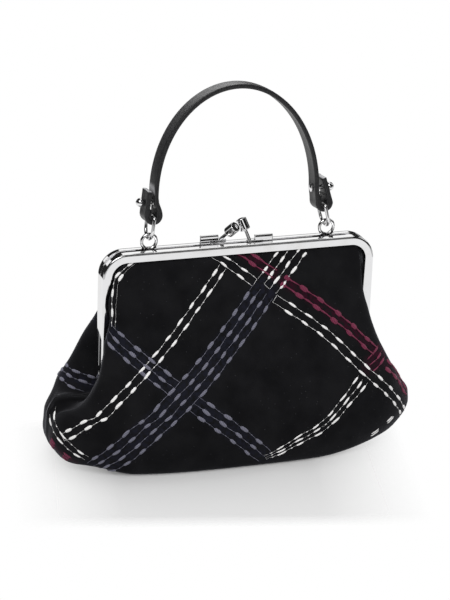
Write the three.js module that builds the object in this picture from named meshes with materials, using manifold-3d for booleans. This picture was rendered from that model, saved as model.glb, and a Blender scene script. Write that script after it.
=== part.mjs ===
// A small snap-frame handbag: a hollow soft pouch of two panels held in a polished metal frame,
// with a two-knob clasp, two soldered eyes and an arched strap handle on D-shaped links.
// Millimetres. x runs across the bag, -y is its front, z is up from the surface it stands on.

import * as THREE from 'three';
import { mergeVertices } from 'three/addons/utils/BufferGeometryUtils.js';
import ManifoldModule from 'manifold-3d';

const wasm = await ManifoldModule();
wasm.setup();

// Frame: each half is a bent sheet, seen as a face, a rounded edge, a top and a closing wall
const FRAME_WIDTH = 180;
const FRAME_TOP = 136;
const FRAME_CORNER = 20;
const FRAME_SHEET = 1.0;
const FACE_HEIGHT = 5.8;
const FACE_DEPTH = 7.2;
const FACE_ROUND = 2.8;
const CLOSING_WALL = 5.2;
const CLOSING_ROUND = 1.4;
const CLOSING_GAP = 0.4;
const LEG_END = 63;

// Hinges: lapped ears below the legs, on one rivet a side
const HINGE_HEIGHT = 55;
const EAR_RADIUS = 5.5;
const EAR_SHEET = 1.0;
const EAR_LAP_GAP = 0.4;
const EAR_STRIP = { from: 1.5, to: 5.4, overlap: 4 };
const RIVET_RADIUS = 1.3;
const RIVET_HEAD_RADIUS = 2.7;
const RIVET_HEAD_HEIGHT = 1.2;
const HINGE_BORE_DEPTH = 8;

// Soldered eyes on the back half
const EYE_X = 59;
const EYE_Y = 3;
const EYE_RADIUS = 4.9;
const EYE_WIRE = 1.05;
const EYE_SINK = 0.6;

// Clasp: an upright plate with a low rail, a slanted stem and a barrel knob on each half.
// Each stem crosses the closing plane, so that the knobs snap past each other.
const CLASP_PLATE = { length: 12.4, depth: 2.4, height: 4.0 };
const CLASP_STEM_RADIUS = 1.4;
const CLASP_STEM_FOOT = 1.6;
const CLASP_RAIL = { length: 5, height: 1.6 };
const CLASP_KNOB = { radius: 3.4, length: 7.4, round: 1.2 };
const CLASP_ARMS = [
  {
    name: 'clasp_left', plateX: -18.2, plateY: 3.9, inward: 1, footX: -11.6,
    knobX: -6.0, knobY: -2.2, knobZ: 145.4,
  },
  {
    name: 'clasp_right', plateX: 16.0, plateY: -1.7, inward: -1, footX: 8.2,
    knobX: 3.7, knobY: 3.4, knobZ: 146.2,
  },
];

// Handle: one strap bent to an arch, each end turned up round a link and held by a ball stud
const STRAP_WIDTH = 11;
const STRAP_THICKNESS = 2.8;
const STRAP_BEVEL = 0.6;
const ARCH_HALF_WIDTH = 53.7;
const ARCH_SPRING = 168;
const ARCH_APEX = 235.8;
const FOLD_X = 57.2;
const FOLD_Z = 157.6;
const FOLD_RADIUS = 4.4;
const TAB_TOP = { x: 58.9, z: 172.8 };
const HANDLE_LEAN = THREE.MathUtils.degToRad(5);
const HANDLE_SWAY = -1.1;
const LINK_WIRE = 0.9;
const LINK_HALF_WIDTH = 6.9;
const LINK_HEIGHT = 12.8;
const LINK_CORNER = 1.6;
const LINK_BOTTOM = 143.6;
const STUD_Z = 166.6;
const STUD_SHANK = 1.1;
const STUD_BALL = 2.25;
const STUD_BALL_X = 63.6;
const STUD_HEAD = { radius: 2.6, height: 0.6, x: 51.1 };
const STUD_HOLE_MARGIN = 2;
const FIT_GAP = 0.3;

// Pouch: a row for each level section, mirrored left to right and front to back.
// foldX and foldD place the rounded fold beside the frame leg, depth is the middle of the panel,
// neck and seam are where the cloth turns round the frame's lip and where it ends or is sewn,
// and square is how boxy the panel's bow is. LIP is the hem's turn as a share from neck to seam.
const WALL = 1.6;
const SEAM_GAP = 0.4;
const PANEL_ROUND = 2.2;
const LIP = { across: 0.06, deep: 0.56 };
const SECTION_COLUMNS = ['z', 'foldX', 'foldD', 'depth', 'neckX', 'neckD', 'seamX', 'seamD', 'square'];
const SECTIONS = [
  [132, 72.0, 4.2, 4.3, 71.6, 4.0, 73.0, 3.8, 4.0],
  [130, 74.5, 4.8, 5.3, 74.0, 4.5, 76.5, 4.0, 4.0],
  [127, 77.2, 6.8, 8.8, 76.8, 6.2, 80.5, 4.2, 4.0],
  [122, 80.6, 8.3, 12.0, 80.2, 7.5, 83.5, 4.5, 3.8],
  [114, 83.0, 9.4, 15.8, 81.8, 7.8, 85.3, 4.6, 3.6],
  [102, 84.8, 11.0, 20.5, 81.8, 7.8, 85.3, 4.6, 3.4],
  [90, 88.5, 13.5, 26.0, 81.8, 7.8, 85.3, 4.6, 3.2],
  [75, 95.5, 18.0, 32.5, 81.8, 7.8, 85.3, 4.6, 3.1],
  [63, 101.0, 21.5, 37.5, 81.8, 7.8, 85.3, 4.4, 3.0],
  [55, 105.0, 23.0, 41.0, 82.3, 7.0, 85.3, 2.5, 3.0],
  [49, 108.5, 23.5, 43.0, 84.0, 5.5, 86.0, 0.2, 3.0],
  [46, 110.5, 22.5, 44.0, 97.0, 4.5, 99.0, 0.2, 3.0],
  [42, 113.5, 19.5, 45.0, 110.0, 4.0, 111.0, 0.2, 2.9],
  [36, 119.5, 12.5, 46.3, 119.0, 3.5, 119.5, 0.2, 2.8],
  [28, 124.5, 8.0, 47.5, 124.6, 3.0, 125.0, 0.2, 2.8],
  [20, 125.0, 7.0, 48.0, 125.2, 3.0, 125.4, 0.2, 2.8],
  [12, 122.5, 6.5, 47.6, 122.8, 3.0, 123.0, 0.2, 2.8],
  [6, 119.0, 6.0, 46.0, 119.3, 3.0, 119.5, 0.2, 2.9],
  [2, 115.0, 6.0, 43.2, 115.3, 3.0, 115.5, 0.2, 3.0],
  [0, 109.0, 6.0, 39.0, 109.3, 3.0, 109.5, 0.2, 3.0],
].map((row) => Object.fromEntries(SECTION_COLUMNS.map((column, i) => [column, row[i]])));
const GUSSET_STEPS = 4;
const PANEL_STEPS = 10;
const BASE_ROWS = [
  { across: 0.97, deep: 0.62 },
  { across: 0.94, deep: 0.28 },
  { across: 0.92, deep: 0 },
];
// The front panel's side folds stand in a little from the back panel's above the lower corners
const FRONT_FOLD_TRIM = { by: 2.6, from: 42, to: 98 };
// The right end of the bag is less full than the left and its corner stands a little off the surface
const RIGHT_FULLNESS = { scale: 0.945, reachX: 60, below: 95, blend: 30 };
const RIGHT_LIFT = { height: 6, fromX: 48, overX: 65, below: 45 };

// Facets: steps along each curve and sides round each bar
const STEPS = {
  faceRound: 4, closingRound: 3, frameCorner: 6, rivetDome: 4, knobRim: 3, studBall: 6,
  arch: 14, drop: 3, fold: 8, tab: 3, linkBow: 8, linkCorner: 3,
};
const SIDES = { bore: 16, ear: 20, turned: 14, stem: 12, studHole: 12, wire: 6, eye: 16 };
const WELD = 1e-4;

const FINISH = {
  velvet: { color: 0x17171a, roughness: 0.95, metalness: 0.0 },
  chrome: { color: 0xdcdcde, roughness: 0.12, metalness: 1.0 },
  leather: { color: 0x2a2a2c, roughness: 0.5, metalness: 0.0 },
};

const QUARTER = Math.PI / 2;
const smooth = (t) => THREE.MathUtils.smoothstep(t, 0, 1);

// Mesh and solid helpers

function closedGeometry(points, triangles) {
  const geometry = new THREE.BufferGeometry();
  const numbers = points.flatMap((p) => p.toArray());
  geometry.setAttribute('position', new THREE.Float32BufferAttribute(numbers, 3));
  let volume = 0;
  for (const [a, b, c] of triangles) {
    volume += points[a].dot(new THREE.Vector3().crossVectors(points[b], points[c]));
  }
  const facing = volume < 0 ? triangles.map(([a, b, c]) => [a, c, b]) : triangles;
  geometry.setIndex(facing.flat());
  return geometry;
}

// A bent sheet: every station has an outer and an inner line with as many points each
function sheetSolid(stations) {
  const lineLength = stations[0].outer.length;
  const loopLength = 2 * lineLength;
  const points = stations.flatMap((s) => [...s.outer, ...s.inner.slice().reverse()]);
  const triangles = [];
  for (let s = 0; s + 1 < stations.length; s += 1) {
    for (let k = 0; k < loopLength; k += 1) {
      const a = s * loopLength + k;
      const b = s * loopLength + ((k + 1) % loopLength);
      triangles.push([a, b, b + loopLength], [a, b + loopLength, a + loopLength]);
    }
  }
  const addCap = (first, flip) => {
    for (let k = 0; k + 1 < lineLength; k += 1) {
      const quad = [k, loopLength - 1 - k, loopLength - 2 - k, k + 1].map((i) => first + i);
      const halves = [[quad[0], quad[1], quad[2]], [quad[0], quad[2], quad[3]]];
      triangles.push(...halves.map(([a, b, c]) => (flip ? [a, c, b] : [a, b, c])));
    }
  };
  addCap(0, false);
  addCap((stations.length - 1) * loopLength, true);
  return closedGeometry(points, triangles);
}

// A round wire along a closed flat path in the yz plane
function wireLoop(path, wireRadius) {
  const sides = SIDES.wire;
  const points = [];
  const triangles = [];
  path.forEach((p, i) => {
    const before = path[(i + path.length - 1) % path.length];
    const after = path[(i + 1) % path.length];
    const along = after.clone().sub(before).normalize();
    for (let k = 0; k < sides; k += 1) {
      const turn = (2 * Math.PI * k) / sides;
      const outward = wireRadius * Math.cos(turn);
      const sideways = wireRadius * Math.sin(turn);
      points.push(new THREE.Vector3(sideways, p.x + along.y * outward, p.y - along.x * outward));
      const a = i * sides + k;
      const b = i * sides + ((k + 1) % sides);
      const c = ((i + 1) % path.length) * sides + k;
      const d = ((i + 1) % path.length) * sides + ((k + 1) % sides);
      triangles.push([a, b, d], [a, d, c]);
    }
  });
  return closedGeometry(points, triangles);
}

function toSolid(geometry) {
  const bare = geometry.clone();
  bare.deleteAttribute('normal');
  bare.deleteAttribute('uv');
  const merged = mergeVertices(bare, WELD);
  const vertProperties = new Float32Array(merged.attributes.position.array);
  const triVerts = new Uint32Array(merged.index.array);
  return new wasm.Manifold(new wasm.Mesh({ numProp: 3, vertProperties, triVerts }));
}

function toGeometry(solid) {
  const mesh = solid.getMesh();
  const geometry = new THREE.BufferGeometry();
  geometry.setAttribute('position', new THREE.Float32BufferAttribute(mesh.vertProperties, 3));
  geometry.setIndex(Array.from(mesh.triVerts));
  return geometry;
}

// A turned piece with its seam and poles merged
function welded(geometry) {
  return toGeometry(toSolid(geometry));
}

function join(geometries, cuts = []) {
  let solid = geometries.map(toSolid).reduce((whole, piece) => whole.add(piece));
  for (const cut of cuts) {
    solid = solid.subtract(toSolid(cut));
  }
  return toGeometry(solid);
}

function named(name, geometry, finish) {
  geometry.computeVertexNormals();
  const mesh = new THREE.Mesh(geometry, new THREE.MeshStandardMaterial(FINISH[finish]));
  mesh.name = name;
  return mesh;
}

function boxBetween(corner, opposite) {
  const size = corner.map((c, i) => Math.abs(opposite[i] - c));
  const middle = corner.map((c, i) => (opposite[i] + c) / 2);
  return new THREE.BoxGeometry(...size).translate(...middle);
}

// A cylinder whose axis runs along x
function barAlongX(radius, fromX, toX, y, z, sides) {
  const bar = new THREE.CylinderGeometry(radius, radius, Math.abs(toX - fromX), sides);
  return bar.rotateZ(QUARTER).translate((fromX + toX) / 2, y, z);
}

// Points on a quarter arc from the first axis direction to the second
function quarterArc(centre, radius, from, to, steps) {
  return Array.from({ length: steps + 1 }, (_, i) => {
    const turn = (QUARTER * i) / steps;
    const [c, s] = [Math.cos(turn) * radius, Math.sin(turn) * radius];
    return [centre[0] + from[0] * c + to[0] * s, centre[1] + from[1] * c + to[1] * s];
  });
}

// Frame

// Half profile as [inward from the outer line, away from the closing plane]; inset 0 is the outside
function frameLine(inset) {
  const face = FACE_DEPTH - inset;
  const closing = CLOSING_GAP / 2 + inset;
  const faceCentre = [FACE_ROUND, FACE_DEPTH - FACE_ROUND];
  const closingCentre = [CLOSING_ROUND, CLOSING_GAP / 2 + CLOSING_ROUND];
  return [
    [FACE_HEIGHT, face],
    ...quarterArc(faceCentre, FACE_ROUND - inset, [0, 1], [-1, 0], STEPS.faceRound),
    ...quarterArc(closingCentre, CLOSING_ROUND - inset, [-1, 0], [0, -1], STEPS.closingRound),
    [CLOSING_WALL, closing],
  ];
}

// Stations round the inverted U: a point on the outer line and the direction inward from it
function frameStations() {
  const half = FRAME_WIDTH / 2;
  const centreX = half - FRAME_CORNER;
  const centreZ = FRAME_TOP - FRAME_CORNER;
  const arc = quarterArc([0, 0], 1, [1, 0], [0, 1], STEPS.frameCorner);
  const right = [
    { x: half, z: LEG_END, inX: -1, inZ: 0 },
    ...arc.map(([c, s]) => ({
      x: centreX + FRAME_CORNER * c, z: centreZ + FRAME_CORNER * s, inX: -c, inZ: -s,
    })),
  ];
  const left = right.map((s) => ({ ...s, x: -s.x, inX: -s.inX })).reverse();
  return [...right, ...left];
}

function frameChannel(side) {
  const place = (s) => ([inward, deep]) => (
    new THREE.Vector3(s.x + s.inX * inward, side * deep, s.z + s.inZ * inward)
  );
  return sheetSolid(frameStations().map((s) => ({
    outer: frameLine(0).map(place(s)),
    inner: frameLine(FRAME_SHEET).map(place(s)),
  })));
}

// A hinge ear: a strip below the leg's outer wall that ends in a disc on the hinge axis
function hingeEar(side, end, layer) {
  const outX = end * (FRAME_WIDTH / 2 - layer * (EAR_SHEET + EAR_LAP_GAP));
  const inX = outX - end * EAR_SHEET;
  const webX = end * (FRAME_WIDTH / 2 - FRAME_SHEET / 2);
  const [near, far] = [side * EAR_STRIP.from, side * EAR_STRIP.to];
  const top = LEG_END + EAR_STRIP.overlap;
  const strip = boxBetween([inX, near, HINGE_HEIGHT], [outX, far, top]);
  const seat = boxBetween([inX, near, LEG_END + FIT_GAP], [webX, far, top]);
  const disc = barAlongX(EAR_RADIUS, inX, outX, 0, HINGE_HEIGHT, SIDES.ear);
  return [strip, seat, disc];
}

function frameHalf(name, side, layer, extras) {
  const ears = [1, -1].flatMap((end) => hingeEar(side, end, layer));
  const reach = FRAME_WIDTH / 2 + RIVET_HEAD_HEIGHT;
  const bores = [1, -1].map((end) => {
    const [fromX, toX] = [end * (reach - HINGE_BORE_DEPTH), end * reach];
    return barAlongX(RIVET_RADIUS + FIT_GAP, fromX, toX, 0, HINGE_HEIGHT, SIDES.bore);
  });
  return named(name, join([frameChannel(side), ...ears, ...extras], bores), 'chrome');
}

function eye(end) {
  const ring = new THREE.TorusGeometry(EYE_RADIUS, EYE_WIRE, SIDES.wire, SIDES.eye);
  const height = FRAME_TOP + EYE_RADIUS + EYE_WIRE - EYE_SINK;
  return ring.rotateX(QUARTER).translate(end * EYE_X, EYE_Y, height);
}

function hingeRivet(name, end) {
  const half = FRAME_WIDTH / 2;
  const shankEnd = half - 2 * EAR_SHEET - EAR_LAP_GAP;
  const seat = half + FIT_GAP;
  const dome = quarterArc([0, 0], 1, [1, 0], [0, 1], STEPS.rivetDome);
  const profile = [
    new THREE.Vector2(0, shankEnd),
    new THREE.Vector2(RIVET_RADIUS, shankEnd),
    new THREE.Vector2(RIVET_RADIUS, seat),
    ...dome.map(([c, s]) => new THREE.Vector2(RIVET_HEAD_RADIUS * c, seat + RIVET_HEAD_HEIGHT * s)),
  ];
  profile[profile.length - 1].x = 0;
  const rivet = new THREE.LatheGeometry(profile, SIDES.turned);
  return named(name, welded(rivet.rotateZ(-end * QUARTER).translate(0, 0, HINGE_HEIGHT)), 'chrome');
}

// Clasp

function claspArm({ name, plateX, plateY, inward, footX, knobX, knobY, knobZ }) {
  const bottom = FRAME_TOP + FIT_GAP;
  const plate = boxBetween(
    [plateX - CLASP_PLATE.length / 2, plateY - CLASP_PLATE.depth / 2, bottom],
    [plateX + CLASP_PLATE.length / 2, plateY + CLASP_PLATE.depth / 2, bottom + CLASP_PLATE.height],
  );
  const railEnd = plateX + inward * (CLASP_PLATE.length / 2 + CLASP_RAIL.length);
  const rail = boxBetween(
    [plateX, plateY - CLASP_PLATE.depth / 2, bottom],
    [railEnd, plateY + CLASP_PLATE.depth / 2, bottom + CLASP_RAIL.height],
  );
  const foot = new THREE.Vector3(footX, plateY, bottom + CLASP_STEM_FOOT);
  const middle = new THREE.Vector3(knobX, knobY, knobZ);
  const along = middle.clone().sub(foot);
  const upright = new THREE.Vector3(0, 1, 0);
  const turn = new THREE.Quaternion().setFromUnitVectors(upright, along.clone().normalize());
  const stem = new THREE.CylinderGeometry(CLASP_STEM_RADIUS, CLASP_STEM_RADIUS, along.length(), SIDES.stem);
  const stemMiddle = foot.clone().lerp(middle, 0.5);
  stem.applyQuaternion(turn).translate(...stemMiddle.toArray());
  const { radius, length, round } = CLASP_KNOB;
  const rim = quarterArc([radius - round, length / 2 - round], round, [1, 0], [0, 1], STEPS.knobRim);
  const upper = rim.map(([r, h]) => new THREE.Vector2(r, h));
  const lower = upper.map((p) => new THREE.Vector2(p.x, -p.y)).reverse();
  const ends = [new THREE.Vector2(0, -length / 2), new THREE.Vector2(0, length / 2)];
  const knob = new THREE.LatheGeometry([ends[0], ...lower, ...upper, ends[1]], SIDES.turned);
  knob.applyQuaternion(turn).translate(...middle.toArray());
  return named(name, join([plate, rail, stem, knob]), 'chrome');
}

// Handle, in its own frame with the pivot at the foot of the links

function strapPath() {
  const arch = new THREE.EllipseCurve(
    0, ARCH_SPRING, ARCH_HALF_WIDTH, ARCH_APEX - ARCH_SPRING, QUARTER, 0, true,
  );
  const inner = FOLD_X - FOLD_RADIUS;
  const down = new THREE.CubicBezierCurve(
    new THREE.Vector2(ARCH_HALF_WIDTH, ARCH_SPRING),
    new THREE.Vector2(ARCH_HALF_WIDTH, (2 * ARCH_SPRING + FOLD_Z) / 3),
    new THREE.Vector2(inner, (ARCH_SPRING + 2 * FOLD_Z) / 3),
    new THREE.Vector2(inner, FOLD_Z),
  );
  const fold = new THREE.EllipseCurve(
    FOLD_X, FOLD_Z, FOLD_RADIUS, FOLD_RADIUS, Math.PI, 2 * Math.PI, false,
  );
  const tab = new THREE.LineCurve(
    new THREE.Vector2(FOLD_X + FOLD_RADIUS, FOLD_Z),
    new THREE.Vector2(TAB_TOP.x, TAB_TOP.z),
  );
  const steps = [[arch, STEPS.arch], [down, STEPS.drop], [fold, STEPS.fold], [tab, STEPS.tab]];
  const right = steps.flatMap(([curve, count], i) => curve.getPoints(count).slice(i === 0 ? 0 : 1));
  const left = right.slice(1).map((p) => new THREE.Vector2(-p.x, p.y)).reverse();
  return [...left, ...right];
}

function strap(pivot) {
  const path = strapPath();
  const halfWidth = STRAP_WIDTH / 2;
  const halfThick = STRAP_THICKNESS / 2;
  const edge = [
    [-halfWidth, halfThick - STRAP_BEVEL],
    [-halfWidth + STRAP_BEVEL, halfThick],
    [halfWidth - STRAP_BEVEL, halfThick],
    [halfWidth, halfThick - STRAP_BEVEL],
  ];
  const stations = path.map((p, i) => {
    const before = path[Math.max(i - 1, 0)];
    const after = path[Math.min(i + 1, path.length - 1)];
    const along = after.clone().sub(before).normalize();
    const place = (sign) => ([across, off]) => (
      new THREE.Vector3(p.x - sign * off * along.y, across, p.y + sign * off * along.x - pivot.z)
    );
    return { outer: edge.map(place(1)), inner: edge.map(place(-1)) };
  });
  const holes = [1, -1].map((end) => {
    const fromX = end * (STUD_HEAD.x - STUD_HOLE_MARGIN);
    const toX = end * (STUD_BALL_X + STUD_HOLE_MARGIN);
    return barAlongX(STUD_SHANK + FIT_GAP, fromX, toX, 0, STUD_Z - pivot.z, SIDES.studHole);
  });
  return named('handle_strap', join([sheetSolid(stations)], holes), 'leather');
}

function stud(name, end, pivot) {
  const neck = Math.PI - Math.asin(STUD_SHANK / STUD_BALL);
  const ball = Array.from({ length: STEPS.studBall + 1 }, (_, i) => {
    const turn = neck * (1 - i / STEPS.studBall);
    return new THREE.Vector2(STUD_BALL * Math.sin(turn), STUD_BALL_X + STUD_BALL * Math.cos(turn));
  });
  ball[ball.length - 1].x = 0;
  const headTop = STUD_HEAD.x + STUD_HEAD.height;
  const profile = [
    new THREE.Vector2(0, STUD_HEAD.x),
    new THREE.Vector2(STUD_HEAD.radius, STUD_HEAD.x),
    new THREE.Vector2(STUD_HEAD.radius, headTop),
    new THREE.Vector2(STUD_SHANK, headTop),
    ...ball,
  ];
  const turned = new THREE.LatheGeometry(profile, SIDES.turned).rotateZ(-end * QUARTER);
  return named(name, welded(turned.translate(0, 0, STUD_Z - pivot.z)), 'chrome');
}

function link(name, end) {
  const outline = new THREE.Path();
  const shoulder = LINK_HEIGHT - LINK_CORNER;
  outline.absarc(0, LINK_HALF_WIDTH, LINK_HALF_WIDTH, Math.PI, 2 * Math.PI, false);
  outline.absarc(LINK_HALF_WIDTH - LINK_CORNER, shoulder, LINK_CORNER, 0, QUARTER, false);
  outline.absarc(LINK_CORNER - LINK_HALF_WIDTH, shoulder, LINK_CORNER, QUARTER, Math.PI, false);
  const arcs = outline.curves.filter((curve) => curve.isEllipseCurve);
  const path = arcs.flatMap((curve, i) => curve.getPoints(i === 0 ? STEPS.linkBow : STEPS.linkCorner));
  const mesh = named(name, wireLoop(path, LINK_WIRE), 'chrome');
  mesh.position.x = end * EYE_X - HANDLE_SWAY;
  mesh.rotation.y = Math.asin((end * FOLD_X - mesh.position.x) / LINK_HEIGHT);
  return mesh;
}

function handle() {
  const group = new THREE.Group();
  const pivot = new THREE.Vector3(HANDLE_SWAY, EYE_Y, LINK_BOTTOM);
  group.position.copy(pivot);
  group.rotation.x = -HANDLE_LEAN;
  group.add(strap(pivot));
  group.add(stud('stud_left', -1, pivot), stud('stud_right', 1, pivot));
  group.add(link('link_left', -1), link('link_right', 1));
  return group;
}

// Pouch

// Half a level section from the seam to the middle of the panel, as [sideways, deep] pairs
function halfSection(section, side) {
  const { by, from, to } = FRONT_FOLD_TRIM;
  const level = THREE.MathUtils.clamp((section.z - from) / (to - from), 0, 1);
  const trim = side < 0 ? by * Math.sin(Math.PI * level) : 0;
  const s = { ...section, foldX: section.foldX - trim };
  const lip = [
    s.neckX + LIP.across * (s.seamX - s.neckX),
    s.neckD + LIP.deep * (s.seamD - s.neckD),
  ];
  const gusset = Array.from({ length: GUSSET_STEPS }, (_, i) => {
    const turn = (QUARTER * i) / GUSSET_STEPS;
    return [
      s.neckX + (s.foldX - s.neckX) * Math.sin(turn),
      s.foldD - (s.foldD - s.neckD) * Math.cos(turn),
    ];
  });
  const panel = Array.from({ length: PANEL_STEPS + 1 }, (_, i) => {
    const turn = (QUARTER * i) / PANEL_STEPS;
    return [
      i === PANEL_STEPS ? 0 : s.foldX * Math.cos(turn) ** (2 / s.square),
      s.foldD + (s.depth - s.foldD) * Math.sin(turn) ** (2 / PANEL_ROUND),
    ];
  });
  return [[s.seamX, s.seamD], lip, ...gusset, ...panel];
}

// The slack right end: a little narrower, and lifted at its lower corner
function settle(point) {
  const right = smooth(point.x / RIGHT_FULLNESS.reachX);
  const low = 1 - smooth((point.z - RIGHT_FULLNESS.below + RIGHT_FULLNESS.blend) / RIGHT_FULLNESS.blend);
  const raised = smooth((point.x - RIGHT_LIFT.fromX) / RIGHT_LIFT.overX);
  const nearBase = 1 - smooth(point.z / RIGHT_LIFT.below);
  point.x *= 1 - (1 - RIGHT_FULLNESS.scale) * right * low;
  point.z += RIGHT_LIFT.height * raised * nearBase;
  return point;
}

// Outer face of one panel: columns from the right seam to the left, each from the mouth to the base seam
function panelColumns(side) {
  const halves = SECTIONS.map((s) => ({ z: s.z, points: halfSection(s, side) }));
  const base = halves[halves.length - 1].points;
  for (const { across, deep } of BASE_ROWS) {
    const points = base.map(([x, d]) => [x * across, SEAM_GAP / 2 + (d - SEAM_GAP / 2) * deep]);
    halves.push({ z: 0, points });
  }
  const count = base.length;
  const rows = halves.map(({ z, points }) => {
    const right = points.map(([x, d]) => new THREE.Vector3(x, side * d, z));
    const left = points.slice(0, count - 1).map(([x, d]) => new THREE.Vector3(-x, side * d, z)).reverse();
    return [...right, ...left].map(settle);
  });
  return rows[0].map((_, column) => rows.map((row) => row[column]));
}

function panel(name, side) {
  const columns = panelColumns(side);
  const lastColumn = columns.length - 1;
  const lastRow = columns[0].length - 1;
  const inward = (c, r) => {
    const across = columns[Math.min(c + 1, lastColumn)][r].clone().sub(columns[Math.max(c - 1, 0)][r]);
    const down = columns[c][Math.min(r + 1, lastRow)].clone().sub(columns[c][Math.max(r - 1, 0)]);
    return across.cross(down).normalize().multiplyScalar(side);
  };
  const stations = columns.map((column, c) => ({
    outer: column,
    inner: column.map((p, r) => {
      const inside = p.clone().addScaledVector(inward(c, r), WALL);
      inside.y = side * Math.max(side * inside.y, SEAM_GAP / 2);
      return inside;
    }),
  }));
  return named(name, sheetSolid(stations), 'velvet');
}

// The bag, with the middle of its base at the origin

const bag = new THREE.Group();
bag.add(panel('front_panel', -1), panel('back_panel', 1));
bag.add(frameHalf('frame_front', -1, 0, []), frameHalf('frame_back', 1, 1, [eye(-1), eye(1)]));
bag.add(hingeRivet('hinge_rivet_left', -1), hingeRivet('hinge_rivet_right', 1));
bag.add(...CLASP_ARMS.map(claspArm));
bag.add(handle());
bag.updateMatrixWorld(true);
const extent = new THREE.Box3().setFromObject(bag, true);
bag.position.set(-(extent.min.x + extent.max.x) / 2, -(extent.min.y + extent.max.y) / 2, -extent.min.z);

export default bag;
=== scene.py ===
"""A small snap-frame handbag: velvet pouch with stitched plaid, polished frame, strap handle.

Sizes are in millimetres from the middle of the frame: x runs across the bag, -y is its front and
z is up from the floor. Bench.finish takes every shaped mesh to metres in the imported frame.
"""
import logging
import math
from collections.abc import Callable, Iterator
from contextlib import contextmanager
from dataclasses import dataclass, field
from enum import Enum
from functools import partial

import bmesh
import bpy
import numpy as np
from mathutils import Matrix, Vector


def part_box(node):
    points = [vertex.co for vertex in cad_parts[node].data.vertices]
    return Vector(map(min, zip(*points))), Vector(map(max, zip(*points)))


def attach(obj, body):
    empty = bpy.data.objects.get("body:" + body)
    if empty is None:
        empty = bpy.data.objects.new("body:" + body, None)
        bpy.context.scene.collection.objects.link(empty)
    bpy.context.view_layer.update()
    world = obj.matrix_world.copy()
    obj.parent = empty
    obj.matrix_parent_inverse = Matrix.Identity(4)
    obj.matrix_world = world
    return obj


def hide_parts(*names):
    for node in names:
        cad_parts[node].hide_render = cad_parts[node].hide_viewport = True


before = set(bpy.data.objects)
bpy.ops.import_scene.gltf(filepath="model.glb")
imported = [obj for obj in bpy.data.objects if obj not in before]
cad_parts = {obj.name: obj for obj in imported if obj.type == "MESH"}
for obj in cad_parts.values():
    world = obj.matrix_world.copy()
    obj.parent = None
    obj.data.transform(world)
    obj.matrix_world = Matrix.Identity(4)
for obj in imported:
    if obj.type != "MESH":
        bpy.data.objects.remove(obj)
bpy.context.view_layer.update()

MM = 0.001
LOG = logging.getLogger("handbag")
CUT = "cut"
Pair = tuple[float, float]
Triple = tuple[float, float, float]
RGB = Triple


def frame_middle() -> Vector:
    """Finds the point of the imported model, in metres, that sizes are measured from."""
    lo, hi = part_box("frame_front")
    return Vector(((lo.x + hi.x) / 2, 0, 0))


def smooth_step(value: np.ndarray, start: float = 0, span: float = 1) -> np.ndarray:
    """Eases from 0 at a start to 1 a span beyond it, with level ends."""
    ramp = np.clip((value - start) / span, 0, 1)
    return ramp * ramp * (3 - 2 * ramp)


def run_length(points: np.ndarray) -> np.ndarray:
    """Measures how far along a line each of its points lies."""
    return np.r_[0, np.cumsum(np.linalg.norm(np.diff(points, axis=0), axis=1))]


def unit(vectors: np.ndarray) -> np.ndarray:
    """Scales vectors, held in the last axis, to length 1."""
    return vectors / np.maximum(np.linalg.norm(vectors, axis=-1, keepdims=True), 1e-9)


def quarter_arc(centre: Pair, radii: Pair, first: Pair, last: Pair, steps: int) -> list[Pair]:
    """Lists points of a quarter of a circle or an ellipse.

    Args:
        centre: its middle.
        radii: its radii along the two axes.
        first: direction from the middle to the first point.
        last: direction from the middle to the last point.
        steps: number of steps between them.

    Returns:
        The points, ends included.
    """
    turns = [math.pi / 2 * i / steps for i in range(steps + 1)]
    return [
        tuple(centre[k] + radii[k] * (first[k] * math.cos(t) + last[k] * math.sin(t)) for k in (0, 1))
        for t in turns
    ]


def combine(tree: bpy.types.NodeTree, kind: str, *values: object) -> bpy.types.NodeSocket:
    """Combines values or sockets in a math node of the given kind."""
    node = tree.nodes.new("ShaderNodeMath")
    node.operation = kind
    for socket, value in zip(node.inputs, values):
        if isinstance(value, (int, float)):
            socket.default_value = value
        else:
            tree.links.new(value, socket)
    return node.outputs["Value"]


class Named(Enum):
    """A choice whose name is used in the names of pieces."""

    @property
    def label(self) -> str:
        """Gives its name in small letters."""
        return self.name.lower()


class Side(Named):
    """The two halves of the bag, by the sign of y."""

    FRONT = -1
    BACK = 1


class End(Named):
    """The two ends of the bag, by the sign of x."""

    LEFT = -1
    RIGHT = 1


class Part(Enum):
    """Kinds of mesh part that edit mode selects."""

    VERT = "VERT"
    EDGE = "EDGE"
    FACE = "FACE"


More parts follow.
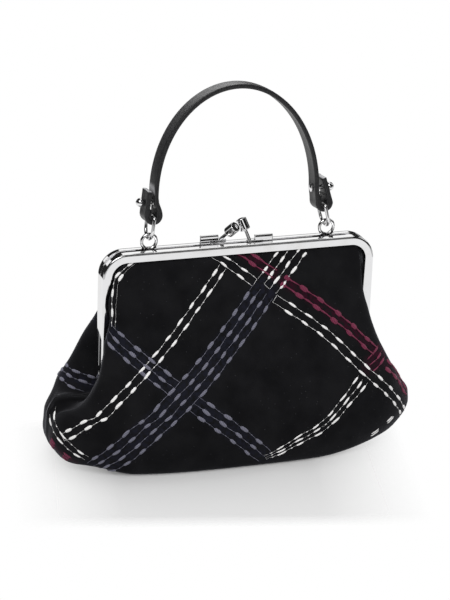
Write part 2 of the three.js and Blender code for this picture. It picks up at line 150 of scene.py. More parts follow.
class Bench:
    """Tools that shape one mesh at a time."""

    middle: Vector = frame_middle()

    @staticmethod
    def fresh() -> None:
        """Deselects everything, ready for a new primitive."""
        bpy.ops.object.select_all(action="DESELECT")

    @staticmethod
    def only(piece: bpy.types.Object) -> None:
        """Makes one piece the selected and active one."""
        Bench.fresh()
        piece.select_set(True)
        bpy.context.view_layer.objects.active = piece

    @staticmethod
    def take(name: str) -> bpy.types.Object:
        """Names the primitive just added and moves its placing into its mesh."""
        piece = bpy.context.active_object
        piece.name = piece.data.name = name
        bpy.ops.object.transform_apply(location=True, rotation=True, scale=True)
        return piece

    @staticmethod
    @contextmanager
    def editing(piece: bpy.types.Object, kind: Part = Part.VERT) -> Iterator[None]:
        """Holds a piece in edit mode with everything selected."""
        Bench.only(piece)
        bpy.ops.object.mode_set(mode="EDIT")
        bpy.ops.mesh.select_mode(type=kind.value)
        bpy.ops.mesh.select_all(action="SELECT")
        yield
        bpy.ops.object.mode_set(mode="OBJECT")

    @staticmethod
    def select_faces(piece: bpy.types.Object, wanted: Callable[[Vector], bool]) -> None:
        """In edit mode, selects just the faces whose corners all pass a test."""
        bpy.ops.mesh.select_all(action="DESELECT")
        mesh = bmesh.from_edit_mesh(piece.data)
        for face in mesh.faces:
            face.select_set(all(wanted(corner.co) for corner in face.verts))
        mesh.select_flush_mode()
        bmesh.update_edit_mesh(piece.data)

    @staticmethod
    def apply(piece: bpy.types.Object, kind: str, **settings: object) -> None:
        """Adds a modifier with the given settings and applies it."""
        Bench.only(piece)
        modifier = piece.modifiers.new(kind.title(), kind)
        for key, value in settings.items():
            setattr(modifier, key, value)
        bpy.ops.object.modifier_apply(modifier=modifier.name)

    @staticmethod
    def join(name: str, pieces: list[bpy.types.Object]) -> bpy.types.Object:
        """Joins pieces into the first of them."""
        Bench.only(pieces[0])
        for piece in pieces:
            piece.select_set(True)
        bpy.ops.object.join()
        pieces[0].name = pieces[0].data.name = name
        return pieces[0]

    @staticmethod
    def copy(piece: bpy.types.Object, name: str) -> bpy.types.Object:
        """Copies a piece, with a mesh of its own."""
        twin = bpy.data.objects.new(name, piece.data.copy())
        twin.data.name = name
        bpy.context.scene.collection.objects.link(twin)
        return twin

    @staticmethod
    def turn_to(piece: bpy.types.Object, along: Vector, place: Vector) -> None:
        """Turns a piece's z axis to a direction and moves it to a place, in its mesh."""
        turn = Vector((0, 0, 1)).rotation_difference(along).to_matrix().to_4x4()
        piece.data.transform(Matrix.Translation(place) @ turn)

    @staticmethod
    def weld(piece: bpy.types.Object) -> None:
        """Merges doubled corners and turns every face outward."""
        with Bench.editing(piece):
            bpy.ops.mesh.remove_doubles(threshold=0.001)
            bpy.ops.mesh.normals_make_consistent(inside=False)

    @staticmethod
    def box(name: str, corner: Vector, opposite: Vector, round_by: float) -> bpy.types.Object:
        """Makes a box between two corners, with rounded edges."""
        Bench.fresh()
        size = [abs(a - b) for a, b in zip(corner, opposite)]
        bpy.ops.mesh.primitive_cube_add(size=1, location=(corner + opposite) / 2, scale=size)
        piece = Bench.take(name)
        with Bench.editing(piece, Part.EDGE):
            bpy.ops.mesh.bevel(offset=round_by, segments=3, affect="EDGES")
        return piece

    @staticmethod
    def rod(name: str, radius: float, start: Vector, stop: Vector, sides: int) -> bpy.types.Object:
        """Makes a round bar between two points."""
        Bench.fresh()
        along = stop - start
        bpy.ops.mesh.primitive_cylinder_add(vertices=sides, radius=radius, depth=along.length)
        piece = Bench.take(name)
        Bench.turn_to(piece, along, (start + stop) / 2)
        return piece

    @staticmethod
    def turned(name: str, profile: list[Pair], steps: int) -> bpy.types.Object:
        """Spins a profile of (radius, height) points about the z axis."""
        Bench.fresh()
        bpy.ops.mesh.primitive_circle_add(vertices=max(len(profile), 3), radius=1)
        piece = Bench.take(name)
        for vertex, (radius, height) in zip(piece.data.vertices, profile):
            vertex.co = (radius, 0, height)
        with Bench.editing(piece):
            bpy.ops.mesh.spin(steps=steps, angle=2 * math.pi, center=(0, 0, 0), axis=(0, 0, 1))
        Bench.weld(piece)
        return piece

    @staticmethod
    def finish(
        piece: bpy.types.Object, slot: str, material: bpy.types.Material,
        stands_for: tuple[str, ...] = (), smooth: float = 40, flat: bool = False,
    ) -> None:
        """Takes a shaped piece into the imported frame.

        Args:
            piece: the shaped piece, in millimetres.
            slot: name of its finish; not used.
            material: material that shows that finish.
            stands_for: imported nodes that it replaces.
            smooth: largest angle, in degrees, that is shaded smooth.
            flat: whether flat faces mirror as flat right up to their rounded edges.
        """
        Bench.only(piece)
        piece.data.transform(Matrix.Translation(Bench.middle) @ Matrix.Scale(MM, 4))
        bpy.ops.object.shade_smooth_by_angle(angle=math.radians(smooth))
        if flat:
            Bench.apply(piece, "WEIGHTED_NORMAL", keep_sharp=True)
        piece.data.materials.clear()
        piece.data.materials.append(material)
        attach(piece, "root")
        if stands_for:
            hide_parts(*stands_for)
        LOG.info("%s: %d faces", piece.name, len(piece.data.polygons))


class Shader:
    """A material's node tree and the few kinds of node that the finishes use."""

    def __init__(self, name: str) -> None:
        self.material = bpy.data.materials.new(name)
        self.material.use_nodes = True
        self.tree = self.material.node_tree
        self.surface = self.tree.nodes["Principled BSDF"]
        self.coords = self.tree.nodes.new("ShaderNodeTexCoord")
        self.place = self.coords.outputs["Object"]

    def set(self, **values: object) -> None:
        """Sets surface values by socket name, written with underscores."""
        for key, value in values.items():
            self.surface.inputs[key.replace("_", " ")].default_value = value

    def link(self, source: bpy.types.NodeSocket, target: bpy.types.NodeSocket) -> None:
        """Links one socket to another."""
        self.tree.links.new(source, target)

    def noise(self, size: float, detail: float = 2.0) -> bpy.types.NodeSocket:
        """Makes a noise whose grains are about a given size in millimetres."""
        node = self.tree.nodes.new("ShaderNodeTexNoise")
        node.inputs["Scale"].default_value = 1 / (size * MM)
        node.inputs["Detail"].default_value = detail
        self.link(self.place, node.inputs["Vector"])
        return node.outputs["Fac"]

    def cells(self, size: float) -> bpy.types.NodeSocket:
        """Makes cells about a given size in millimetres, dark at their middles."""
        node = self.tree.nodes.new("ShaderNodeTexVoronoi")
        node.inputs["Scale"].default_value = 1 / (size * MM)
        self.link(self.place, node.inputs["Vector"])
        return node.outputs["Distance"]

    def ramp(self, source: bpy.types.NodeSocket, low: float, high: float) -> bpy.types.NodeSocket:
        """Stretches a value from low..high to 0..1."""
        node = self.tree.nodes.new("ShaderNodeMapRange")
        node.inputs["From Min"].default_value = low
        node.inputs["From Max"].default_value = high
        self.link(source, node.inputs["Value"])
        return node.outputs["Result"]

    def blend(
        self, amount: bpy.types.NodeSocket, first: RGB | bpy.types.NodeSocket, second: RGB,
    ) -> bpy.types.NodeSocket:
        """Mixes from a first colour to a second."""
        node = self.tree.nodes.new("ShaderNodeMix")
        node.data_type = "RGBA"
        self.link(amount, node.inputs["Factor"])
        if isinstance(first, tuple):
            node.inputs[6].default_value = (*first, 1)
        else:
            self.link(first, node.inputs[6])
        node.inputs[7].default_value = (*second, 1)
        return node.outputs[2]

    def spread(self, source: bpy.types.NodeSocket, low: float, high: float) -> bpy.types.NodeSocket:
        """Stretches a value from 0..1 to low..high."""
        node = self.tree.nodes.new("ShaderNodeMapRange")
        node.inputs["To Min"].default_value = low
        node.inputs["To Max"].default_value = high
        self.link(source, node.inputs["Value"])
        return node.outputs["Result"]

    def bump(
        self, height: bpy.types.NodeSocket, depth: float, strength: float,
        under: bpy.types.NodeSocket | None = None,
    ) -> bpy.types.NodeSocket:
        """Makes a bump of a given depth in millimetres, on top of another if given."""
        node = self.tree.nodes.new("ShaderNodeBump")
        node.inputs["Strength"].default_value = strength
        node.inputs["Distance"].default_value = depth * MM
        self.link(height, node.inputs["Height"])
        if under is not None:
            self.link(under, node.inputs["Normal"])
        return node.outputs["Normal"]

    def attribute(self, name: str) -> bpy.types.NodeSocket:
        """Reads a value kept on the mesh."""
        node = self.tree.nodes.new("ShaderNodeAttribute")
        node.attribute_name = name
        return node.outputs["Fac"]

    def wave(self, turns: Pair) -> bpy.types.NodeSocket:
        """Makes diagonal bands over the mesh's own UV map, as on twisted yarn."""
        mapping = self.tree.nodes.new("ShaderNodeMapping")
        mapping.inputs["Scale"].default_value = (*turns, 1)
        self.link(self.coords.outputs["UV"], mapping.inputs["Vector"])
        node = self.tree.nodes.new("ShaderNodeTexWave")
        node.bands_direction = "DIAGONAL"
        node.inputs["Scale"].default_value = 1.0
        self.link(mapping.outputs["Vector"], node.inputs["Vector"])
        return node.outputs["Fac"]


@dataclass(frozen=True)
class VelvetFinish:
    """Deep pile: nearly black face on, paler at a glancing angle, with lint and clinging yarn."""

    deep: RGB = (0.0066, 0.0066, 0.0073)
    raised: RGB = (0.0105, 0.0105, 0.0115)
    lint: RGB = (0.06, 0.06, 0.065)
    slate: RGB = (0.0118, 0.0124, 0.0190)
    crimson: RGB = (0.027, 0.0060, 0.0130)
    pile: float = 0.45
    lay: float = 17.0
    lay_range: Pair = (0.35, 0.65)
    speck: float = 3.4
    speck_range: Pair = (0.075, 0.03)
    tuft: float = 2.6
    tuft_range: Pair = (0.36, 0.62)
    sheen: float = 0.22
    sheen_tint: RGB = (0.78, 0.79, 0.86)

    def make(self) -> bpy.types.Material:
        """Builds the material."""
        shader = Shader("velvet")
        shader.set(
            Roughness=1.0, Specular_IOR_Level=0.0, Sheen_Weight=self.sheen, Sheen_Roughness=0.35,
            Sheen_Tint=(*self.sheen_tint, 1),
        )
        brushed = shader.ramp(shader.noise(self.lay, detail=4), *self.lay_range)
        specks = shader.ramp(shader.cells(self.speck), *self.speck_range)
        colour = shader.blend(specks, shader.blend(brushed, self.deep, self.raised), self.lint)
        tufts = shader.ramp(shader.noise(self.tuft, detail=4), *self.tuft_range)
        for thread, tint in ((Thread.SLATE, self.slate), (Thread.CRIMSON, self.crimson)):
            fuzz = combine(shader.tree, "MULTIPLY", shader.attribute(thread.value.name), tufts)
            colour = shader.blend(fuzz, colour, tint)
        shader.link(colour, shader.surface.inputs["Base Color"])
        normal = shader.bump(shader.noise(self.pile, detail=3), depth=0.25, strength=0.8)
        shader.link(normal, shader.surface.inputs["Normal"])
        return shader.material


@dataclass(frozen=True)
class ChromeFinish:
    """Polished plate with faint wiping marks."""

    colour: RGB = (0.87, 0.87, 0.88)
    tarnish: RGB = (0.83, 0.825, 0.82)
    polish: float = 0.025
    smear: float = 0.07
    mark: float = 9
    mark_range: Pair = (0.40, 0.72)
    ripple: float = 2.6

    def make(self) -> bpy.types.Material:
        """Builds the material."""
        shader = Shader("chrome")
        shader.set(Metallic=1.0)
        marks = shader.ramp(shader.noise(self.mark, detail=5), *self.mark_range)
        shader.link(
            shader.blend(marks, self.colour, self.tarnish), shader.surface.inputs["Base Color"])
        shader.link(
            shader.spread(marks, self.polish, self.smear), shader.surface.inputs["Roughness"])
        normal = shader.bump(shader.noise(self.ripple, detail=1), depth=0.01, strength=0.1)
        shader.link(normal, shader.surface.inputs["Normal"])
        return shader.material


@dataclass(frozen=True)
class LeatherFinish:
    """Black grained leather with a low shine and raw cut ends."""

    valley: RGB = (0.010, 0.010, 0.011)
    crest: RGB = (0.026, 0.026, 0.028)
    raw: RGB = (0.30, 0.30, 0.31)
    grain: float = 0.9
    grain_range: Pair = (0.05, 0.55)
    mottle: float = 4
    polish: Pair = (0.34, 0.48)
    pore: float = 0.35

    def make(self) -> bpy.types.Material:
        """Builds the material."""
        shader = Shader("leather")
        shader.set(Specular_IOR_Level=0.5)
        grain = shader.ramp(shader.cells(self.grain), *self.grain_range)
        skin = shader.blend(grain, self.crest, self.valley)
        shader.link(
            shader.blend(shader.attribute(CUT), skin, self.raw), shader.surface.inputs["Base Color"])
        worn = shader.spread(shader.noise(self.mottle, detail=4), *self.polish)
        shader.link(worn, shader.surface.inputs["Roughness"])
        pores = shader.bump(shader.noise(self.pore, detail=2), depth=0.05, strength=0.5)
        normal = shader.bump(grain, depth=-0.12, strength=0.5, under=pores)
        shader.link(normal, shader.surface.inputs["Normal"])
        return shader.material


@dataclass(frozen=True)
class ThreadFinish:
    """Soft spun yarn, with its twist, and painted shade in the grooves of the twist."""

    name: str
    colour: RGB
    # Painted shade: a darker copy of the colour, for the grooves of the twist.
    shade: RGB
    turns: Pair = (1.0, 0.55)
    fibre: float = 0.2

    def make(self) -> bpy.types.Material:
        """Builds the material."""
        shader = Shader(self.name)
        shader.set(
            Roughness=0.8, Specular_IOR_Level=0.2, Sheen_Weight=0.15, Sheen_Roughness=0.5)
        twist = shader.wave(self.turns)
        # Painted shade: the colour darkens to the shade colour in the twist's grooves, where the bump
        # below sinks.
        shader.link(
            shader.blend(twist, self.shade, self.colour), shader.surface.inputs["Base Color"])
        fibres = shader.bump(shader.noise(self.fibre, detail=2), depth=0.05, strength=0.5)
        normal = shader.bump(twist, depth=0.12, strength=0.6, under=fibres)
        shader.link(normal, shader.surface.inputs["Normal"])
        return shader.material


class Thread(Named):
    """The yarns of the plaid."""

    # Each yarn's second colour is painted shade for the grooves of its twist.
    WHITE = ThreadFinish("thread_white", (0.96, 0.95, 0.94), (0.72, 0.71, 0.71))
    SLATE = ThreadFinish("thread_slate", (0.185, 0.184, 0.232), (0.103, 0.103, 0.140))
    CRIMSON = ThreadFinish("thread_crimson", (0.20, 0.026, 0.068), (0.11, 0.014, 0.038))


@dataclass(frozen=True)
class Settling:
    """How the pouch gives way as it stands. A range is a start and a span beyond it.

    Attributes:
        slim: share by which the right end is slimmer.
        slim_across: range of x over which it slims.
        slim_up: range of heights over which that ends.
        tuck: how far the left ear is drawn in.
        tuck_across: range of distances to the left over which it is drawn in.
        tuck_up: ranges of heights over which that starts and ends.
        lifts: lifts of the base, each with its height, its end and its range from the middle.
        lift_up: range of heights over which the lifts end.
    """

    slim: float = 0.055
    slim_across: Pair = (0, 60)
    slim_up: Pair = (65, 30)
    tuck: float = 2.0
    tuck_across: Pair = (95, 20)
    tuck_up: tuple[Pair, Pair] = ((10, 12), (36, 10))
    lifts: tuple[tuple[float, End, Pair], ...] = (
        (6, End.RIGHT, (48, 65)), (3.5, End.LEFT, (76, 24)), (-1.8, End.LEFT, (102, 14)))
    lift_up: Pair = (0, 45)

    def apply(self, points: np.ndarray) -> np.ndarray:
        """Slims the right end, draws in the left ear and lifts the base at both ends a little."""
        x, z = points[..., 0], points[..., 2]
        low = 1 - smooth_step(z, *self.slim_up)
        slim = 1 - self.slim * smooth_step(x, *self.slim_across) * low
        starts, ends = self.tuck_up
        tuck = smooth_step(z, *starts) * (1 - smooth_step(z, *ends))
        tuck *= self.tuck * smooth_step(-x, *self.tuck_across)
        lift = sum(high * smooth_step(end.value * x, *across) for high, end, across in self.lifts)
        lift *= 1 - smooth_step(z, *self.lift_up)
        return np.stack([x * slim + tuck, points[..., 1], z + lift], -1)


@dataclass(frozen=True)
class Slack:
    """Unevenness of the cloth. A pitch is the length of one radian of a wave.

    Attributes:
        gather: height of the gathers below the frame.
        gather_at: distance from the mouth where they are highest, and their reach.
        gather_from: range of distances from the mouth over which they start.
        gather_pitch: pitches of the gathers and of their unevenness.
        gather_stray: how uneven the gathers are.
        body: ranges of distances from the mouth over which the slow waves start and end.
        swell: height of the slowest waves.
        swell_pitch: their pitches across and down.
        swell_phase: their phases across and down.
        ripple: height of the slanting waves.
        ripple_pitch: their pitches across and down.
    """

    gather: float = 0.28
    gather_at: Pair = (9, 5.5)
    gather_from: Pair = (3, 4)
    gather_pitch: Pair = (1.35, 9.0)
    gather_stray: float = 1.1
    body: tuple[Pair, Pair] = ((8, 25), (112, 25))
    swell: float = 0.75
    swell_pitch: Pair = (19, 21)
    swell_phase: Pair = (0.9, 0.4)
    ripple: float = 0.35
    ripple_pitch: Pair = (8.3, 11.0)

    def offsets(self, across: np.ndarray, down: np.ndarray) -> np.ndarray:
        """Gives the unevenness, in millimetres outward.

        Args:
            across: distance along the row from the middle, positive to the right.
            down: distance from the mouth.

        Returns:
            Offsets along the normals.
        """
        highest, reach = self.gather_at
        fine, slow = self.gather_pitch
        gather = np.exp(-((down - highest) / reach) ** 2) * smooth_step(down, *self.gather_from)
        gather *= self.gather * np.sin(across / fine + self.gather_stray * np.sin(across / slow))
        starts, ends = self.body
        body = smooth_step(down, *starts) * (1 - smooth_step(down, *ends))
        swell = [
            np.sin(place / pitch + phase)
            for place, pitch, phase in zip((across, down), self.swell_pitch, self.swell_phase)]
        wave = self.swell * swell[0] * swell[1]
        wave += self.ripple * np.sin(across / self.ripple_pitch[0] - down / self.ripple_pitch[1])
        return gather + body * wave


@dataclass
class PouchForm:
    """Outer face of one panel of the pouch, as a grid of points.

    Rows run down the panel from the mouth to the seam under the base; columns run from the right
    seam over the gusset, the panel and the other gusset to the left seam.

    Attributes:
        side: which panel it is.
        step: distance between rows, in millimetres.
        gusset_steps: columns over each gusset.
        panel_steps: columns over each half of the panel.
        wall: thickness of the cloth with its backing.
        seam: half the gap between the two panels.
        lip: how far along and how deep the seam allowance turns in.
        roundness: exponent of the panel's bulge.
        rows: height, fold x, fold depth, depth, neck x, neck depth, seam x, seam depth, squareness.
        trim: how much narrower the front panel is about its lower middle.
        trim_range: height where that starts, and how far up it reaches.
        folds: height, how far the front panel's left and right folds stand out further.
        fold_range: distance from the middle where the panel starts to follow its folds, and the span
            to where it follows in full.
        ears: height, how far the left ear rises at its seam and at its front fold.
        pocket: how far the cloth sinks behind the front fold of the left ear.
        pocket_up: heights and spans over which that starts and ends.
        base: shares of the last row's width and depth along the underside.
        settling: how the pouch gives way as it stands.
        slack: unevenness of the cloth.
    """

    side: Side
    step: float = 1.5
    gusset_steps: int = 12
    panel_steps: int = 80
    wall: float = 1.6
    seam: float = 0.2
    lip: Pair = (0.06, 0.56)
    roundness: float = 2.2
    trim: float = 2.6
    trim_range: Pair = (42, 56)
    rows: tuple[tuple[float, ...], ...] = (
        (132, 74, 4.2, 4.3, 73.6, 4.0, 75.2, 3.8, 4.0),
        (130, 77, 4.8, 5.3, 76.5, 4.5, 79.2, 4.0, 4.0),
        (127, 79.3, 6.8, 8.8, 78.9, 6.2, 82.4, 4.2, 4.0),
        (122, 81.7, 8.3, 12, 81.2, 7.5, 84.7, 4.5, 3.8),
        (114, 83, 9.4, 15.8, 81.8, 7.8, 85.3, 4.6, 3.6),
        (102, 84.8, 11, 20.5, 81.8, 7.8, 85.3, 4.6, 3.4),
        (90, 88.5, 13.5, 26, 81.8, 7.8, 85.3, 4.6, 3.2),
        (75, 95.5, 18, 32.5, 81.8, 7.8, 85.3, 4.6, 3.1),
        (63, 101, 21.5, 37.5, 81.8, 7.8, 85.3, 4.4, 3.0),
        (55, 105, 23, 41, 82.3, 7, 85.3, 2.5, 3.0),
        (49, 108.5, 23.5, 43, 84, 5.5, 86, 0.2, 3.0),
        (46, 110.5, 22.5, 44, 97, 4.5, 99, 0.2, 3.0),
        (42, 113.5, 19.5, 45, 110, 4, 111, 0.2, 2.9),
        (36, 119.5, 12.5, 46.3, 119, 3.5, 119.5, 0.2, 2.8),
        (28, 124.5, 8, 47.5, 124.6, 3, 125, 0.2, 2.8),
        (20, 125, 7, 48, 125.2, 3, 125.4, 0.2, 2.8),
        (12, 122.5, 6.5, 47.6, 122.8, 3, 123, 0.2, 2.8),
        (6, 119, 6, 46, 119.3, 3, 119.5, 0.2, 2.9),
        (2, 115, 6, 44.2, 115.3, 3, 115.5, 0.2, 3.0),
        (0, 109, 6, 41, 109.3, 3, 109.5, 0.2, 3.0),
    )
    folds: tuple[Triple, ...] = (
        (34, 0, 0.2), (40, -0.8, 0.4), (43, -3.2, 0.8), (46, -3.9, 1.0), (49, -3.8, 1.4),
        (55, -3.0, 1.7), (63, -2.4, 1.7), (70, -1.6, 1.0), (77, -0.8, -0.2), (82, 0.4, -1.0),
        (91, 0.3, -1.9), (96, 0.5, -2.4), (102, 2.3, -2.5), (108, 2.9, -2.5), (114, 2.2, -2.0),
        (122, 1.4, -1.6), (128, 0, 0),
    )
    fold_range: Pair = (35, 45)
    ears: tuple[Triple, ...] = (
        (20, 0, 0), (28, 3.5, 0.5), (32, 5.0, 1.0), (36, 5.5, 0.5), (39, 3.5, -0.5), (42, 0.8, -1.5),
        (46, -4.3, -1.0), (49, -5.0, 0), (55, -3.0, 0), (63, 0, 0),
    )
    pocket: float = 2.5
    pocket_up: tuple[Pair, Pair] = ((32, 6), (46, 8))
    base: tuple[Pair, ...] = ((0.97, 0.62), (0.94, 0.28), (0.92, 0.0))
    settling: Settling = Settling()
    slack: Slack = Slack()
    points: np.ndarray = field(init=False)
    normals: np.ndarray = field(init=False)
    across: np.ndarray = field(init=False)

    def __post_init__(self) -> None:
        """Lays out the grid, then adds the unevenness of soft cloth."""
        self.points = self.settling.apply(self.ease_folds(self.grid()))
        self.measure()
        down = np.arange(len(self.points))[:, None] * self.step + 0 * self.across
        offsets = self.slack.offsets(self.across, down)
        self.points = self.points + self.normals * offsets[..., None]
        self.measure()

    def half_row(self, row: tuple[float, ...]) -> np.ndarray:
        """Lists (x, depth) points of one row, from the seam to the middle."""
        z, fold, fold_deep, deep, neck, neck_deep, seam, seam_deep, square = row
        if self.side is Side.FRONT:
            low, span = self.trim_range
            fold -= self.trim * math.sin(math.pi * min(max((z - low) / span, 0), 1))
        lip = (neck + self.lip[0] * (seam - neck), neck_deep + self.lip[1] * (seam_deep - neck_deep))
        turn = np.linspace(0, np.pi / 2, self.gusset_steps, endpoint=False)
        gusset = np.stack([
            neck + (fold - neck) * np.sin(turn), fold_deep - (fold_deep - neck_deep) * np.cos(turn),
        ], 1)
        turn = np.linspace(0, np.pi / 2, self.panel_steps + 1)
        cosine = np.clip(np.cos(turn), 0, 1)
        cosine[-1] = 0
        face = np.stack([
            fold * cosine ** (2 / square),
            fold_deep + (deep - fold_deep) * np.sin(turn) ** (2 / self.roundness),
        ], 1)
        run = run_length(face)
        even = np.linspace(0, run[-1], self.panel_steps + 1)
        face = np.stack([np.interp(even, run, face[:, 0]), np.interp(even, run, face[:, 1])], 1)
        return np.concatenate([[(seam, seam_deep)], [lip], gusset, face])

    @staticmethod
    def flow(stations: np.ndarray, values: np.ndarray, wanted: np.ndarray) -> np.ndarray:
        """Runs a curve without overshoot through rows of values.

        Args:
            stations: rising place of each row.
            values: rows of points.
            wanted: places to read.

        Returns:
            A row of points for each wanted place.
        """
        wide = (-1,) + (1,) * (values.ndim - 1)
        gap = np.diff(stations)
        slope = np.diff(values, axis=0) / gap.reshape(wide)
        ahead = (2 * gap[1:] + gap[:-1]).reshape(wide)
        behind = (gap[1:] + 2 * gap[:-1]).reshape(wide)
        agree = slope[:-1] * slope[1:] > 0
        safe = [np.where(agree, part, 1.0) for part in (slope[:-1], slope[1:])]
        tangent = np.zeros_like(values)
        tangent[1:-1] = np.where(agree, (ahead + behind) / (ahead / safe[0] + behind / safe[1]), 0)
        tangent[0], tangent[-1] = slope[0], slope[-1]
        k = np.clip(np.searchsorted(stations, wanted, side="right") - 1, 0, len(stations) - 2)
        width = gap[k].reshape(wide)
        t = ((wanted - stations[k]) / gap[k]).reshape(wide)
        return (
            values[k] * (1 + 2 * t) * (1 - t) ** 2 + width * tangent[k] * t * (1 - t) ** 2
            + values[k + 1] * t * t * (3 - 2 * t) + width * tangent[k + 1] * t * t * (t - 1)
        )

    def grid(self) -> np.ndarray:
        """Lays out the even pouch, before it settles."""
        lines = []
        for row in self.rows:
            half = self.half_row(row)
            lines.append(np.c_[half, np.full(len(half), row[0])])
        last = lines[-1]
        for wide, deep in self.base:
            lines.append(np.stack([
                last[:, 0] * wide, self.seam + (last[:, 1] - self.seam) * deep, last[:, 2]], 1))
        lines = np.array(lines)
        run = run_length(lines[:, -1])
        count = int(run[-1] / self.step)
        self.step = run[-1] / count
        half = self.flow(run, lines, np.linspace(0, run[-1], count + 1))
        half[..., 1] *= self.side.value
        mirrored = half[:, :-1][:, ::-1] * (-1, 1, 1)
        return np.concatenate([half, mirrored], axis=1)

    def read(self, table: tuple[Triple, ...], heights: np.ndarray) -> np.ndarray:
        """Reads both columns of a table at a grid of heights."""
        rows = np.array(table, float)
        places = np.clip(heights.ravel(), rows[0, 0], rows[-1, 0])
        return self.flow(rows[:, 0], rows[:, 1:], places).T.reshape(2, *heights.shape)

    def ease_folds(self, points: np.ndarray) -> np.ndarray:
        """Moves the folds of the front panel, and shapes the left ear, as the tables say."""
        x, y, z = (points[..., k] for k in range(3))
        column = np.arange(z.shape[1])
        gusset = np.clip((np.minimum(column, column[::-1]) - 1) / self.gusset_steps, 0, 1)
        fold = smooth_step(gusset)
        panel = fold * smooth_step(np.abs(x), *self.fold_range)
        seam_rise, fold_rise = self.read(self.ears, z)
        rise = seam_rise * (1 - fold)
        if self.side is Side.FRONT:
            left, right = self.read(self.folds, z)
            x = x + np.where(x < 0, -left, right) * panel
            starts, ends = self.pocket_up
            sunk = smooth_step(z, *starts) * (1 - smooth_step(z, *ends))
            rise = rise + fold_rise * panel - self.pocket * np.sin(np.pi * gusset) * sunk
        return np.stack([x, y, z + np.where(x < 0, rise, 0)], -1)

    def measure(self) -> None:
        """Works out the outward normals and the distance of each point from the middle."""
        along = np.gradient(self.points, axis=1)
        down = np.gradient(self.points, axis=0)
        self.normals = unit(np.cross(along, down)) * -self.side.value
        middle = self.points.shape[1] // 2
        steps = np.linalg.norm(np.diff(self.points, axis=1), axis=2)
        run = np.concatenate([np.zeros((len(steps), 1)), np.cumsum(steps, axis=1)], axis=1)
        self.across = run[:, middle:middle + 1] - run

    def at(self, route: np.ndarray) -> tuple[np.ndarray, np.ndarray]:
        """Finds places on the panel.

        Args:
            route: (across, down) pairs in millimetres.

        Returns:
            Their points and their outward normals.
        """
        points, normals = [], []
        for across, down in route:
            level = min(max(down / self.step, 0), len(self.points) - 1.001)
            row, part = int(level), level - int(level)
            spread = (1 - part) * self.across[row] + part * self.across[row + 1]
            column = np.interp(-across, -spread, np.arange(len(spread)))
            left = min(int(column), len(spread) - 2)
            slide = column - left
            for grid, found in ((self.points, points), (self.normals, normals)):
                pair = (1 - part) * grid[row, left:left + 2] + part * grid[row + 1, left:left + 2]
                found.append((1 - slide) * pair[0] + slide * pair[1])
        return np.array(points), unit(np.array(normals))


@dataclass
class Pouch:
    """The two velvet panels of the soft body.

    Attributes:
        material: velvet.
        forms: form of each panel.
        shedding: yarns whose loose fibres cling to the pile.
        cling: distance from a band over which loose yarn thins out from all to none.
        cling_edge: share of loose yarn at the edge of a band.
        cling_step: distance between the places along a band that are measured from.
    """

    material: bpy.types.Material
    forms: dict[Side, PouchForm] = field(default_factory=lambda: {s: PouchForm(s) for s in Side})
    shedding: tuple[Thread, ...] = (Thread.SLATE, Thread.CRIMSON)
    cling: float = 4.0
    cling_edge: float = 0.6
    cling_step: float = 2.0

    def build(self) -> None:
        """Makes both panels."""
        for side in Side:
            self.panel(side)

    def panel(self, side: Side) -> None:
        """Lays a grid over one panel's form and gives it the thickness of the cloth."""
        form = self.forms[side]
        rows, columns = form.points.shape[:2]
        Bench.fresh()
        bpy.ops.mesh.primitive_grid_add(x_subdivisions=columns - 1, y_subdivisions=rows - 1, size=1)
        piece = Bench.take(f"velvet_{side.label}")
        piece.data.vertices.foreach_set("co", form.points.ravel())
        piece.data.update()
        facing = sum(face.normal.y * side.value for face in piece.data.polygons)
        if facing < 0:
            with Bench.editing(piece):
                bpy.ops.mesh.flip_normals()
        for thread in self.shedding:
            fuzz = piece.data.attributes.new(thread.value.name, "FLOAT", "POINT")
            fuzz.data.foreach_set("value", self.loose_yarn(form, thread))
        Bench.apply(piece, "SOLIDIFY", thickness=form.wall, offset=-1.0)
        Bench.finish(piece, "velvet", self.material, (f"{side.label}_panel",), smooth=80)

    def loose_yarn(self, form: PouchForm, thread: Thread) -> np.ndarray:
        """Finds how much loose yarn clings to each point of a panel, from 0 to 1.

        Args:
            form: the panel.
            thread: yarn of the bands that shed it.

        Returns:
            A share for each point: most within a band, fading to 0 beside it.
        """
        points = form.points.reshape(-1, 3)
        away = np.full(len(points), np.inf)
        for band in BANDS:
            if band.thread is thread and form.side in band.sides:
                route = np.array(band.route, float)
                run = run_length(route)
                places = np.linspace(0, run[-1], int(run[-1] / self.cling_step) + 2)
                reach = band.gaps[0] * (band.lines - 1) / 2
                for spot in form.at(PouchForm.flow(run, route, places))[0]:
                    away = np.minimum(away, np.linalg.norm(points - spot, axis=1) - reach)
        return np.clip(self.cling_edge - away / self.cling, 0, 1)


@dataclass(frozen=True)
class Band:
    """Parallel lines of running stitches on a panel.

    Attributes:
        thread: yarn of the band.
        lines: number of lines.
        gaps: distance between lines at the start and at the end.
        route: (across, down) points of the band's middle.
        first: distance from the start to the middle of the first stitch.
        pitch: distance between stitches.
        caps: whether the lines are joined at the start and at the end.
        plump: share of the usual stitch width, at the start and at the end.
        hair: share of the usual thickness of the fine lines between stitches.
        sides: panels that carry the band.
    """

    thread: Thread
    lines: int
    gaps: Pair
    route: tuple[Pair, ...]
    first: float
    pitch: float = 13.0
    caps: tuple[bool, bool] = (False, False)
    plump: Pair = (1.0, 1.0)
    hair: float = 1.0
    sides: tuple[Side, ...] = (Side.FRONT, Side.BACK)


